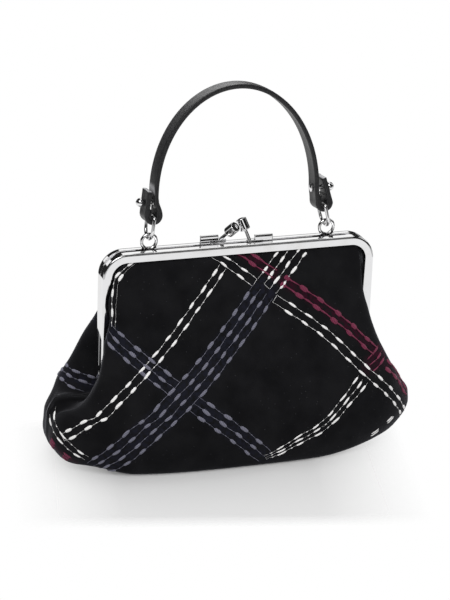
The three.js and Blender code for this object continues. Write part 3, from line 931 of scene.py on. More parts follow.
FRONT_ONLY = (Side.FRONT,)
BANDS = (
    Band(Thread.WHITE, 1, (0, 0), (
        (-69, 1), (-71.8, 3), (-82.6, 11.3), (-85.8, 23.3), (-86.9, 36.1), (-88, 45)),
        3.4, 12.9, hair=0.7),
    Band(Thread.WHITE, 1, (0, 0), (
        (-69, 3), (-80.1, 12), (-82.9, 22.5), (-84.4, 35), (-85.8, 46)), 14.0, 60, hair=0.5),
    Band(Thread.WHITE, 2, (4.7, 4.7), (
        (-13.5, 10), (-51, 53), (-80, 82), (-108.6, 107.4), (-125.5, 119.3)),
        6.2, 13.0, (False, True)),
    Band(Thread.WHITE, 4, (5.0, 5.0), (
        (38, 0), (28, 10.3), (19.7, 18.9), (14, 24.7)), 1.9, 12.4),
    Band(Thread.WHITE, 1, (0, 0), ((12.2, 22.9), (15.8, 26.4)), 20),
    Band(Thread.SLATE, 4, (5.1, 5.1), (
        (11.5, 27.5), (-2.4, 43.6), (-30, 73), (-59.5, 99.8), (-87, 125.4), (-95.5, 134.5), (-102, 142)),
        8.8, 13.2),
    Band(Thread.WHITE, 3, (4.2, 1.9), (
        (74, 90), (61.8, 102.7), (52, 112), (40.8, 119.5), (28.7, 124.7), (17, 130.6), (7, 135)),
        4.4, 13.2, plump=(0.9, 0.5), hair=0.5),
    Band(Thread.WHITE, 2, (2.2, 2.0), (
        (104, 122), (99.1, 127.1), (86.2, 133.9), (73, 137)), 7.2, 14.4, plump=(0.5, 0.45), hair=0),
    Band(Thread.WHITE, 2, (5.3, 5.3), ((-18, 1), (-0.9, 15.5), (6.5, 21.8)), 9.2, 13.2, (False, True)),
    Band(Thread.WHITE, 2, (5.3, 5.3), (
        (18.5, 32.5), (49.3, 56.7), (77, 86), (95.2, 103), (110, 122.5), (116, 132)),
        12.7, 13.0, (True, False)),
    Band(Thread.CRIMSON, 2, (5.3, 5.3), ((-1, 0), (8.2, 7.8), (20, 17.5)), 12.1, 14.6),
    Band(Thread.CRIMSON, 2, (5.3, 5.3), (
        (25, 21.5), (48, 38.8), (69.3, 57.9), (80, 69), (86, 74.5)), 0.4, 14.3),
    Band(Thread.CRIMSON, 2, (5.3, 4.6), (
        (94.5, 84.5), (97.6, 87.2), (104, 92.5), (111, 100.5), (118, 112)), 3.0, 9.6),
    Band(Thread.CRIMSON, 3, (4.7, 4.3), (
        (92.5, 75.9), (87, 79.2), (79.5, 82.6)), 4.2, 7.2, plump=(0.62, 0.2), hair=0.3),
    Band(Thread.SLATE, 3, (5.2, 5.2), (
        (-92, 47), (-85.5, 53), (-76.5, 61.3), (-59.2, 77.3), (-51.5, 84)), 8.8, 11.9),
    Band(Thread.SLATE, 3, (5.2, 5.2), (
        (-41, 93), (-33.2, 99.4), (-11.2, 117.1), (-1.3, 126.1), (7, 134)), 10.1, 13.7),
    Band(Thread.WHITE, 2, (6.4, 3.3), (
        (-142.5, 109.7), (-138.8, 112), (-125.8, 120.2), (-114, 128.1), (-108, 132.5)),
        4.3, 14.9, plump=(0.8, 0.75), hair=0.5, sides=FRONT_ONLY),
    Band(Thread.CRIMSON, 3, (2.7, 2.5), (
        (-139, 125), (-136.1, 127), (-122.5, 133.7), (-117, 137)),
        3.6, 15.1, plump=(0.55, 0.6), hair=0, sides=FRONT_ONLY),
    Band(Thread.SLATE, 3, (3.8, 3.5), (
        (-104, 90.5), (-121.8, 91), (-132.7, 91.5), (-142, 92)), 7.1, 10.8, sides=(Side.BACK,)),
)


class YarnMesh:
    """Gathers lengths of yarn into one mesh."""

    def __init__(self) -> None:
        self.points: list[np.ndarray] = []
        self.faces: list[tuple[int, ...]] = []
        self.wrap: list[Pair] = []
        self.count = 0

    def add(
        self, path: np.ndarray, up: np.ndarray, wide: np.ndarray, high: np.ndarray, sides: int,
    ) -> None:
        """Adds one length of yarn.

        Args:
            path: points along its middle.
            up: direction away from the cloth at each point.
            wide: half its width at each point.
            high: half its height at each point.
            sides: number of faces round it.
        """
        along = unit(np.gradient(path, axis=0))
        across = unit(np.cross(along, up))
        up = np.cross(across, along)
        turn = np.linspace(0, 2 * np.pi, sides, endpoint=False)
        ring = (
            path[:, None] + across[:, None] * (np.cos(turn)[:, None] * wide[:, None, None])
            + up[:, None] * (np.sin(turn)[:, None] * high[:, None, None])
        )
        run = run_length(path)
        last = len(path) - 1
        for i in range(last):
            for j in range(sides):
                k = (j + 1) % sides
                corners = ((i, j), (i + 1, j), (i + 1, k), (i, k))
                self.faces.append(tuple(self.count + a * sides + b for a, b in corners))
                self.wrap += [
                    ((j + (b != j)) / sides, run[a]) for a, b in corners]
        for a, order in ((0, range(sides)), (last, range(sides - 1, -1, -1))):
            self.faces.append(tuple(self.count + a * sides + b for b in order))
            self.wrap += [(b / sides, run[a]) for b in order]
        self.points.append(ring.reshape(-1, 3))
        self.count += ring.shape[0] * sides

    def piece(self, name: str) -> bpy.types.Object:
        """Makes the mesh, with its faces outward and its wrap as a UV map."""
        mesh = bpy.data.meshes.new(name)
        mesh.from_pydata(np.concatenate(self.points).tolist(), [], self.faces)
        layer = mesh.uv_layers.new(name="wrap")
        layer.data.foreach_set("uv", np.array(self.wrap).ravel())
        piece = bpy.data.objects.new(name, mesh)
        bpy.context.scene.collection.objects.link(piece)
        with Bench.editing(piece):
            bpy.ops.mesh.normals_make_consistent(inside=False)
        return piece


@dataclass
class Plaid:
    """The stitched plaid: plump stitches joined by fine lines of the same yarn.

    Attributes:
        pouch: panels that carry it.
        stitch: length, width and height of a stitch.
        line: half the width of the fine line between stitches.
        dash: length and width of the dash halfway between stitches.
        lift: height of the yarn's middle over the cloth.
        broad: share of the stitch width for each yarn.
        fuzz: share of the fine line's width for each yarn.
        stray: how far stitches stray along their line and lines stray to the side.
        drift: turn of a line's stray, in radians, for each millimetre and each line.
        uneven: share by which stitches differ in length and width.
        width_turns: turn of the unevenness in width for each line and each millimetre.
        length_turns: the same for the unevenness in length.
        margins: room that a stitch and a dash keep to the end of their line.
        outline: shares of half a stitch, from end to end, where its section is given.
        taper: power of a stitch's outline, its least share of the width, and its fullness.
        line_step: distance between the points of a fine line.
        line_uneven: share by which a fine line differs in thickness.
        line_turns: turns of that, in radians for each point.
    """

    pouch: Pouch
    stitch: Triple = (5.9, 1.8, 1.05)
    line: float = 0.09
    dash: Pair = (1.4, 0.5)
    lift: float = 0.25
    broad: dict[Thread, float] = field(default_factory=lambda: {
        Thread.WHITE: 0.93, Thread.SLATE: 1.15, Thread.CRIMSON: 1.62})
    fuzz: dict[Thread, float] = field(default_factory=lambda: {
        Thread.WHITE: 1.0, Thread.SLATE: 1.3, Thread.CRIMSON: 5.0})
    stray: Pair = (0.5, 0.18)
    drift: Pair = (0.41, 2.3)
    uneven: float = 0.12
    width_turns: Pair = (7.1, 1.9)
    length_turns: Pair = (5.3, 2.7)
    margins: Pair = (1.5, 2.0)
    outline: tuple[float, ...] = (-1, -0.92, -0.75, -0.4, 0, 0.4, 0.75, 0.92, 1)
    taper: Triple = (4, 0.08, 0.65)
    line_step: float = 2.5
    line_uneven: float = 0.6
    line_turns: Pair = (2.1, 0.77)

    def build(self) -> None:
        """Makes one piece for each yarn on each panel."""
        materials = {thread: thread.value.make() for thread in Thread}
        for side in Side:
            for thread in Thread:
                yarn = YarnMesh()
                for band in BANDS:
                    if band.thread is thread and side in band.sides:
                        self.lay(yarn, self.pouch.forms[side], band)
                piece = yarn.piece(f"stitches_{thread.label}_{side.label}")
                Bench.finish(piece, thread.value.name, materials[thread], smooth=60)

    @staticmethod
    def chance(turns: Pair, number: int, place: float) -> float:
        """Gives the unevenness, from -1 to 1, of the stitch at a place on a line."""
        return math.sin(turns[0] * number + turns[1] * place)

    def lay(self, yarn: YarnMesh, form: PouchForm, band: Band) -> None:
        """Lays one band of stitches on a panel."""
        route = np.array(band.route, float)
        run = run_length(route)
        length = run[-1]

        def line(places: np.ndarray, number: int) -> np.ndarray:
            """Finds (across, down) places on one line of the band."""
            reach = 0.5
            ahead = PouchForm.flow(run, route, np.clip(places + reach, 0, length))
            behind = PouchForm.flow(run, route, np.clip(places - reach, 0, length))
            along = unit(ahead - behind)
            gap = band.gaps[0] + (band.gaps[1] - band.gaps[0]) * places / length
            off = (number - (band.lines - 1) / 2) * gap
            off = off + self.stray[1] * np.sin(self.drift[0] * places + self.drift[1] * number)
            return (ahead + behind) / 2 + off[:, None] * np.stack([-along[:, 1], along[:, 0]], 1)

        hair = self.line * self.fuzz[band.thread] * band.hair
        for number in range(band.lines):
            lane = partial(line, number=number)
            if hair:
                places = np.linspace(0, length, max(int(length / self.line_step), 3))
                self.fine(yarn, form, lane(places), hair)
            for place in np.arange(band.first, length - self.margins[0], band.pitch):
                share = band.plump[0] + (band.plump[1] - band.plump[0]) * place / length
                chance = self.chance(self.width_turns, number, place)
                wide = self.stitch[1] * self.broad[band.thread] * share / 2 * (1 + self.uneven * chance)
                longer = self.uneven * self.chance(self.length_turns, number, place)
                spot = place + self.stray[0] * chance
                self.plump(yarn, form, lane, spot, self.stitch[0] * (1 + longer), wide, length)
                half = place + band.pitch / 2
                if hair and half < length - self.margins[1]:
                    self.plump(yarn, form, lane, half, self.dash[0], self.dash[1] / 2, length)
        for at_end, wanted in enumerate(band.caps):
            if wanted:
                ends = [line(np.array([length * at_end]), n)[0] for n in range(band.lines)]
                for first, second in zip(ends, ends[1:]):
                    self.fine(yarn, form, np.linspace(first, second, 4), hair)

    def fine(self, yarn: YarnMesh, form: PouchForm, route: np.ndarray, thick: float) -> None:
        """Lays a fine line of yarn, uneven in its thickness."""
        points, up = form.at(route)
        place = np.arange(len(points))
        quick, slow = self.line_turns
        uneven = self.line_uneven * np.sin(place * quick) * np.sin(place * slow + route[0, 0])
        width = thick * (1 + uneven)
        yarn.add(points + up * thick, up, width, width, sides=5)

    def plump(
        self, yarn: YarnMesh, form: PouchForm, line: Callable[[np.ndarray], np.ndarray],
        place: float, long: float, wide: float, length: float,
    ) -> None:
        """Lays one stitch, widest in its middle and fine at its ends.

        Args:
            yarn: mesh that it joins.
            form: panel that it lies on.
            line: finds (across, down) places on its line.
            place: distance of its middle along the line.
            long: its length.
            wide: half its width.
            length: length of the line.
        """
        steps = np.array(self.outline)
        places = np.clip(place + steps * long / 2, 0, length)
        if places[-1] - places[0] < long / 3:
            return
        power, least, full = self.taper
        shape = np.clip(1 - np.abs(steps) ** power, least, 1) ** full
        apart = np.maximum.accumulate(places + steps * 0.01)
        points, up = form.at(line(apart))
        high = shape * min(self.stitch[2] / 2, wide)
        yarn.add(points + up * (self.lift * shape)[:, None], up, shape * wide, high, sides=8)


@dataclass
class SnapFrame:
    """The two channel-section halves of the frame, with hinge ears, carrier eyes and rivets.

    Attributes:
        material: polished plate.
        width: width of the frame.
        top: height of its top.
        corner: radius of its two upper corners.
        corner_steps: steps round each of them.
        sheet: thickness of the sheet.
        face: how far the outer face of a half reaches inward, and its distance from the middle plane.
        face_round: radii, inward and in depth, of the bend between the top and the outer face.
        closing: how far the wall at the closing reaches inward, and its distance from the middle plane.
        closing_round: radius of the bend beside the closing.
        closing_shift: how far forward the closing is set.
        lip: how far the rounding of the sheet's edges starts from its end.
        leg_closing: how far the walls at the closing come together down the legs.
        leg_widen: how much wider the outer face is down each leg.
        leg_end: height of the lower ends of the legs.
        hinge: height of the hinges.
        ear_radius: radius of a hinge disc.
        ear_gap: room between an ear and the leg.
        ear_lap: distance from the front half's ear to the back half's.
        ear_high: height of an ear over the hinge.
        ear_seat: height of the part of an ear that is soldered to the leg.
        ear_round: rounding of the edges of an ear's strip and of its soldered part.
        strip: nearest and furthest distance of an ear's strip from the middle plane.
        eye_ring: radii of a carrier eye and of its wire.
        eye_foot: how much longer and deeper the foot of an eye is, as shares.
        bead: opposite corners of the bead of solder under an eye.
        bead_round: rounding of its edges.
        eyes: x, y and how far the eye sinks into the bead, at each end.
        rivet: radii of a rivet's shank and head, and the rise of its dome.
        rivet_gap: room between a rivet's head and the leg.
    """

    material: bpy.types.Material
    width: float = 180
    top: float = 136
    corner: float = 15.6
    corner_steps: int = 24
    sheet: float = 1.0
    face: Pair = (5.8, 6.8)
    face_round: dict[Side, Pair] = field(default_factory=lambda: {
        Side.FRONT: (1.3, 1.3), Side.BACK: (1.3, 2.8)})
    closing: Pair = (5.2, 1.75)
    closing_round: float = 0.2
    closing_shift: float = 0.45
    lip: float = 0.3
    leg_closing: float = 1.6
    leg_widen: dict[End, float] = field(default_factory=lambda: {End.LEFT: 0, End.RIGHT: 1.4})
    leg_end: dict[Side, float] = field(default_factory=lambda: {Side.FRONT: 50, Side.BACK: 61})
    hinge: float = 55
    ear_radius: float = 5.5
    ear_gap: float = 0.05
    ear_lap: float = 1.4
    ear_high: float = 12
    ear_seat: float = 3.7
    ear_round: Pair = (0.15, 0.1)
    strip: Pair = (1.5, 6.6)
    eye_ring: Pair = (4.75, 1.05)
    eye_foot: Pair = (1.25, 1.15)
    bead: tuple[Triple, Triple] = ((-2.3, -0.9, -0.5), (2.3, 1.3, 0.55))
    bead_round: float = 0.45
    eyes: dict[End, Triple] = field(default_factory=lambda: {
        End.LEFT: (-58.5, 1.3, 1.1), End.RIGHT: (59.5, 1.3, 0.6)})
    rivet: Triple = (1.3, 2.7, 0.5)
    rivet_gap: float = 0.1

    def build(self) -> None:
        """Makes both halves and both hinge rivets."""
        for side in Side:
            layer = 0 if side is Side.FRONT else 1
            parts = [self.channel(side)]
            for end in End:
                parts += self.ear(side, end, layer)
            if side is Side.BACK:
                parts += self.carrier_eyes()
            name = side.label
            piece = Bench.join(f"polished_frame_{name}", parts)
            Bench.finish(piece, "chrome", self.material, (f"frame_{name}",), flat=True)
        self.hinge_rivets()

    def section(self, side: Side) -> list[Pair]:
        """Lists a channel's section as (inward, away from the middle plane), all the way round."""
        wide, deep = self.face_round[side]
        face_middle = (wide, self.face[1] - deep)
        closing = self.closing[1] - side.value * self.closing_shift
        lines = []
        for inset in (0, self.sheet):
            bend = max(self.closing_round - inset, 0.05)
            bend_middle = (inset + bend, closing + inset + bend)
            lines.append([
                (self.face[0] - self.lip, self.face[1] - inset),
                *quarter_arc(face_middle, (wide - inset, deep - inset), (0, 1), (-1, 0), 10),
                *quarter_arc(bend_middle, (bend, bend), (-1, 0), (0, -1), 8),
                (self.closing[0] - self.lip, closing + inset),
            ])
        outer, inner = lines
        middle = self.sheet / 2
        face_lip = (self.face[0], self.face[1] - middle)
        closing_lip = (self.closing[0], closing + middle)
        return [face_lip, *outer, closing_lip, *reversed(inner)]

    def channel(self, side: Side) -> bpy.types.Object:
        """Draws the section up one leg, round a corner, over the top and down the other leg."""
        section = self.section(side)
        half = self.width / 2
        turn_x, turn_z = half - self.corner, self.top - self.corner
        low = self.leg_end[side]
        Bench.fresh()
        bpy.ops.mesh.primitive_circle_add(vertices=len(section), radius=1)
        piece = Bench.take("channel")
        for vertex, (inward, deep) in zip(piece.data.vertices, section):
            vertex.co = (half - inward, side.value * deep, low)
        with Bench.editing(piece):
            bpy.ops.mesh.edge_face_add()
            bpy.ops.mesh.extrude_region_move(TRANSFORM_OT_translate={"value": (0, 0, turn_z - low)})
            self.turn_corner((turn_x, 0, turn_z))
            bpy.ops.mesh.extrude_region_move(TRANSFORM_OT_translate={"value": (-2 * turn_x, 0, 0)})
            self.turn_corner((-turn_x, 0, turn_z))
            bpy.ops.mesh.extrude_region_move(TRANSFORM_OT_translate={"value": (0, 0, low - turn_z)})
        Bench.weld(piece)
        self.shape_legs(piece, side)
        return piece

    def shape_legs(self, piece: bpy.types.Object, side: Side) -> None:
        """Brings the walls at the closing together down the legs, and widens the faces there."""
        turn_z = self.top - self.corner
        wall = self.closing[1] + self.closing_shift + self.sheet + 0.4
        edge = self.width / 2 - self.face[0] + 0.5
        for vertex in piece.data.vertices:
            share = 1 - smooth_step(vertex.co.z, turn_z, self.corner)
            if abs(vertex.co.y) < wall:
                vertex.co.y -= side.value * self.leg_closing * share
            elif abs(vertex.co.x) < edge and vertex.co.z < turn_z:
                end = End.LEFT if vertex.co.x < 0 else End.RIGHT
                vertex.co.x -= end.value * self.leg_widen[end] * share

    def turn_corner(self, centre: Triple) -> None:
        """Spins the selected section a quarter turn, from upright to level or back down."""
        bpy.ops.mesh.spin(
            steps=self.corner_steps, angle=math.pi / 2, center=centre, axis=(0, 1, 0))

    def ear(self, side: Side, end: End, layer: int) -> list[bpy.types.Object]:
        """Makes a hinge ear: a strip inside the leg that ends in the hinge disc."""
        outer = end.value * (self.width / 2 - self.ear_gap - layer * self.ear_lap)
        inner = outer - end.value * self.sheet
        web = end.value * (self.width / 2 - self.sheet / 2)
        near, far = (side.value * edge for edge in self.strip)
        top = self.hinge + self.ear_high
        strip_round, seat_round = self.ear_round
        strip = Bench.box(
            "strip", Vector((inner, near, self.hinge)), Vector((outer, far, top)), strip_round)
        seat = Bench.box(
            "seat", Vector((inner, near, top - self.ear_seat)), Vector((web, far, top)), seat_round)
        disc = Bench.rod(
            "disc", self.ear_radius, Vector((inner, 0, self.hinge)), Vector((outer, 0, self.hinge)),
            sides=40)
        return [strip, seat, disc]

    def carrier_eyes(self) -> list[bpy.types.Object]:
        """Makes a ring that stands in a bead of solder, once for each end of the back half."""
        ring, wire = self.eye_ring
        Bench.fresh()
        bpy.ops.mesh.primitive_torus_add(
            major_radius=ring, minor_radius=wire, major_segments=48, minor_segments=14,
            rotation=(math.pi / 2, 0, 0))
        eye = Bench.take("eye")
        with Bench.editing(eye, Part.FACE):
            foot = 0.75 * wire - ring
            Bench.select_faces(eye, lambda p: p.z < foot)
            bpy.ops.transform.resize(value=(*self.eye_foot, 1))
        bead = Bench.box("bead", *map(Vector, self.bead), self.bead_round)
        parts = []
        for end in End:
            x, y, sink = self.eyes[end]
            for part, high in ((eye, ring + wire - sink), (bead, 0)):
                parts.append(Bench.copy(part, f"{part.name}_{end.label}"))
                parts[-1].data.transform(Matrix.Translation((x, y, self.top + high)))
        for part in (eye, bead):
            bpy.data.objects.remove(part)
        return parts

    def hinge_rivets(self) -> None:
        """Makes the domed rivet of a hinge, once for each end."""
        shank, head, rise = self.rivet
        half = self.width / 2
        start = half - self.sheet - self.ear_lap
        seat = half + self.rivet_gap
        dome = [(head * math.cos(t), seat + rise * math.sin(t)) for t in np.linspace(0, math.pi / 2, 9)]
        profile = [(0, start), (shank, start), (shank, seat), *dome[:-1], (0, seat + rise)]
        right = Bench.turned("polished_rivet_right", profile, steps=32)
        for end, piece in ((End.RIGHT, right), (End.LEFT, Bench.copy(right, "polished_rivet_left"))):
            Bench.turn_to(piece, Vector((end.value, 0, 0)), Vector((0, 0, self.hinge)))
            Bench.finish(piece, "chrome", self.material, (f"hinge_rivet_{end.label}",))


@dataclass(frozen=True)
class ClaspArm:
    """Places of one arm of the clasp.

    Attributes:
        end: end of the bag that it is on.
        plate: x and y of the middle of its plate.
        foot_x: x of the foot of its stem.
        knob: middle of its knob.
        lean: direction of the knob's axis, away from the stem.
    """

    end: End
    plate: Pair
    foot_x: float
    knob: Triple
    lean: Triple


@dataclass
class Clasp:
    """The two arms that snap past each other: plate, rail, stem and barrel knob.

    Attributes:
        material: polished plate.
        seat: height of the undersides.
        plate: length, thickness and height of a plate.
        plate_round: rounding of its edges.
        rail: how far the rail reaches past the plate, and its height.
        rail_round: rounding of its edges.
        stem: radius of a stem.
        stem_foot: height of a stem's foot over the seat.
        stem_reach: share of the knob's length by which the stem ends short of its middle.
        knob: radius and length of a knob, and the rounding of its rims.
        dome: rise of a knob's ends.
        arms: places of both arms.
    """

    material: bpy.types.Material
    seat: float = 136.05
    plate: Triple = (12.2, 1.8, 4.3)
    plate_round: float = 0.55
    rail: Pair = (5, 1.2)
    rail_round: float = 0.4
    stem: float = 1.05
    stem_foot: float = 1.0
    stem_reach: float = 0.4
    knob: Triple = (3.5, 7.8, 0.8)
    dome: float = 0.55
    arms: tuple[ClaspArm, ...] = (
        ClaspArm(End.LEFT, (-17.9, 4.8), -10.6, (-5.4, -2.2, 145.5), (0.40, -0.60, 0.69)),
        ClaspArm(End.RIGHT, (16.4, -0.7), 7.2, (3.9, 3.4, 146.3), (-0.30, 0.43, 0.85)),
    )

    def build(self) -> None:
        """Makes both arms."""
        for arm in self.arms:
            parts = [*self.base(arm), *self.stem_and_knob(arm)]
            name = arm.end.label
            piece = Bench.join(f"polished_clasp_{name}", parts)
            Bench.finish(piece, "chrome", self.material, (f"clasp_{name}",), flat=True)

    def base(self, arm: ClaspArm) -> list[bpy.types.Object]:
        """Makes the upright plate and the rail that carries the stem."""
        long, deep, high = self.plate
        x, y = arm.plate
        front, back = y - deep / 2, y + deep / 2
        inward = -arm.end.value
        seat = self.seat
        plate = Bench.box(
            "plate", Vector((x - long / 2, front, seat)), Vector((x + long / 2, back, seat + high)),
            self.plate_round)
        rail = Bench.box(
            "rail", Vector((x, front, seat)),
            Vector((x + inward * (long / 2 + self.rail[0]), back, seat + self.rail[1])),
            self.rail_round)
        return [plate, rail]

    def stem_and_knob(self, arm: ClaspArm) -> list[bpy.types.Object]:
        """Makes the leaning stem and the barrel on its end."""
        radius, length, rounding = self.knob
        foot = Vector((arm.foot_x, arm.plate[1], self.seat + self.stem_foot))
        middle, lean = Vector(arm.knob), Vector(arm.lean).normalized()
        head = middle - lean * length * self.stem_reach
        stem = Bench.rod("stem", self.stem, foot, head, sides=24)
        flat = radius - rounding
        rim = quarter_arc(
            (flat, length / 2 - rounding), (rounding, rounding), (1, 0), (0, 1), steps=6)
        dome = [(r * flat, length / 2 + self.dome * (1 - r * r)) for r in (0.8, 0.55, 0.28)]
        upper = [*rim, *dome, (0, length / 2 + self.dome)]
        knob = Bench.turned("knob", [(r, -z) for r, z in reversed(upper)] + upper, steps=40)
        Bench.turn_to(knob, lean, middle)
        return [stem, knob]


@dataclass(frozen=True)
class StrapEnd:
    """Places of one end of the strap, as distances from the middle and heights.

    Attributes:
        arch: half the width of the arch at its spring.
        fold: middle of the fold.
        tab_top: top of the turned-up tab.
        stud_z: height of the stud.
        eye_x: place of the ring that carries the link.
    """

    arch: float
    fold: Pair
    tab_top: Pair
    stud_z: float
    eye_x: float


@dataclass
class StrapHandle:
    """The leather strap with its turned-up ends, ball studs and D-shaped links.

    Attributes:
        leather: finish of the strap.
        chrome: finish of the studs and links.
        width: width of the strap.
        thick: its thickness.
        crown: how far its middle stands out.
        edge_round: largest rounding of its edges.
        lanes: columns of faces across it.
        lining: thickness of the lining inside its folds.
        lining_room: room between the lining and a stud's flange.
        spring: height where the arch springs.
        apex: height of its top.
        fold_radius: radius of a fold, to the strap's middle.
        lean: how far the handle leans back, in degrees.
        sway: how far it stands to the right.
        pivot_y: y of the foot of the links.
        link_wire: radius of a link's wire.
        link_half: half a link's width.
        link_height: its height.
        link_corner: radius of its upper corners.
        link_bottom: height of its foot.
        stud_shank: radius of a stud's shank.
        stud_ball: radius of its ball.
        ball_seat: share of the ball's radius from the tab to its middle.
        stud_head: radius and height of its inner head.
        flange: radius and thickness of its flange between the layers.
        flange_round: chamfer of the flange.
        neck: radius of its neck between the flange and the tab.
        layer_gap: room between a stud and the leather.
        ends: places of both ends.
    """

    leather: bpy.types.Material
    chrome: bpy.types.Material
    width: float = 12.2
    thick: float = 2.9
    crown: float = 0.22
    edge_round: float = 0.6
    lanes: int = 8
    lining: float = 1.2
    lining_room: float = 0.8
    spring: float = 168
    apex: float = 235.8
    fold_radius: float = 4.4
    lean: float = 5
    sway: float = -1.1
    pivot_y: float = 3
    link_wire: float = 1.12
    link_half: float = 7.35
    link_height: float = 14.9
    link_corner: float = 1.8
    link_bottom: float = 142.0
    stud_shank: float = 1.1
    stud_ball: float = 2.9
    ball_seat: float = 0.72
    stud_head: Pair = (2.6, 0.7)
    flange: Pair = (3.3, 0.8)
    flange_round: float = 0.2
    neck: float = 1.4
    layer_gap: float = 0.05
    ends: dict[End, StrapEnd] = field(default_factory=lambda: {
        End.LEFT: StrapEnd(53.7, (55.5, 157.6), (57.9, 173.2), 165.4, 58.5),
        End.RIGHT: StrapEnd(52.2, (57.4, 157.8), (57.0, 174.2), 166.9, 59.5)})

    def build(self) -> None:
        """Makes the strap, then a stud and a link for each end."""
        self.strap()
        for end in End:
            self.stud(end)
        self.links()

    def hang(self, piece: bpy.types.Object) -> None:
        """Leans a piece, made about the foot of the links, as the handle stands."""
        lean = Matrix.Rotation(-math.radians(self.lean), 4, "X")
        place = Matrix.Translation((self.sway, self.pivot_y, self.link_bottom))
        piece.data.transform(place @ lean)

    def bend_line(self, end: StrapEnd, inset: float = 0.0) -> np.ndarray:
        """Lists (x, z) points round one fold, at a distance inside the strap's middle."""
        radius = self.fold_radius - inset
        turn = np.linspace(math.pi, 2 * math.pi, 17)
        return np.stack([end.fold[0] + radius * np.cos(turn), end.fold[1] + radius * np.sin(turn)], 1)

    def half_path(self, end: StrapEnd) -> np.ndarray:
        """Lists (x, z) points of the strap's middle from the apex to the top of one tab."""
        turn = np.linspace(0, math.pi / 2, 46)
        rise = self.apex - self.spring
        arch = np.stack([end.arch * np.sin(turn), self.spring + rise * np.cos(turn)], 1)
        bend = self.bend_line(end)
        inner, low = bend[0]
        t = np.linspace(0, 1, 9)[1:, None]
        corners = np.array([
            (end.arch, self.spring), (end.arch, (2 * self.spring + low) / 3),
            (inner, (self.spring + 2 * low) / 3), (inner, low)])
        weights = np.concatenate([(1 - t) ** 3, 3 * t * (1 - t) ** 2, 3 * t * t * (1 - t), t ** 3], 1)
        tab = np.linspace(bend[-1], end.tab_top, 12)[1:]
        return np.concatenate([arch, weights @ corners, bend[1:], tab])

    def band(self, name: str, path: np.ndarray, thick: float, crown: float) -> bpy.types.Object:
        """Lays a grid along a path, thickens it and rounds its edges.

        Args:
            name: name of the piece.
            path: (x, z) points of its middle.
            thick: its thickness.
            crown: how far its middle stands out.

        Returns:
            The closed band, about the foot of the links.
        """
        along = unit(np.gradient(path, axis=0))
        outward = np.stack([-along[:, 1], along[:, 0]], 1)
        Bench.fresh()
        bpy.ops.mesh.primitive_grid_add(
            x_subdivisions=self.lanes, y_subdivisions=len(path) - 1, size=1)
        piece = Bench.take(name)
        share = np.linspace(-1, 1, self.lanes + 1)
        rise = crown * (1 - share ** 2)
        spine = path[:, None] + outward[:, None] * rise[None, :, None]
        points = np.stack([
            spine[..., 0], np.broadcast_to(share * self.width / 2, spine.shape[:2]),
            spine[..., 1] - self.link_bottom], -1)
        piece.data.vertices.foreach_set("co", points.ravel())
        piece.data.update()
        Bench.apply(piece, "SOLIDIFY", thickness=thick, offset=0.0, use_even_offset=True)
        Bench.apply(
            piece, "BEVEL", width=min(self.edge_round, thick / 3), segments=3, limit_method="ANGLE",
            angle_limit=math.radians(50))
        Bench.weld(piece)
        return piece

    def strap(self) -> None:
        """Makes the strap with the lining inside its two folds."""
        left, right = (self.half_path(self.ends[end]) for end in (End.LEFT, End.RIGHT))
        path = np.concatenate([left[:0:-1] * (-1, 1), right])
        parts = [self.band("strap", path, self.thick, self.crown)]
        for end in End:
            place = self.ends[end]
            bend = self.bend_line(place, (self.thick + self.lining) / 2)
            rise = np.array((0, place.stud_z - self.flange[0] - self.lining_room - place.fold[1]))
            line = np.concatenate([[bend[0] + rise], bend, [bend[-1] + rise - (1.0, 0)]])
            parts.append(self.band("fold_lining", line * (end.value, 1), self.lining, crown=0.0))
        piece = Bench.join("leather_strap", parts)
        self.mark_cuts(piece)
        self.hang(piece)
        Bench.finish(piece, "leather", self.leather, ("handle_strap",))

    def mark_cuts(self, piece: bpy.types.Object) -> None:
        """Marks the corners of the strap's two cut ends for the finish."""
        back, around = 0.2, 3
        places = np.array([vertex.co for vertex in piece.data.vertices])
        cut = np.zeros(len(places))
        for end in End:
            half = self.half_path(self.ends[end]) * (end.value, 1) - (0, self.link_bottom)
            along = unit(half[-1] - half[-2])
            offset = places[:, [0, 2]] - half[-1]
            past = (offset @ along > -back) & (np.abs(offset).max(axis=1) < around)
            cut[past] = 1
        mark = piece.data.attributes.new(CUT, "FLOAT", "POINT")
        mark.data.foreach_set("value", cut)

    def layers(self, end: StrapEnd) -> Pair:
        """Finds x of the strap and of its tab at the height of the stud."""
        half = self.half_path(end)
        lowest = int(np.argmin(half[:, 1]))
        strap = np.interp(-end.stud_z, -half[:lowest, 1], half[:lowest, 0])
        tab = np.interp(end.stud_z, half[lowest:, 1], half[lowest:, 0])
        return float(strap), float(tab)

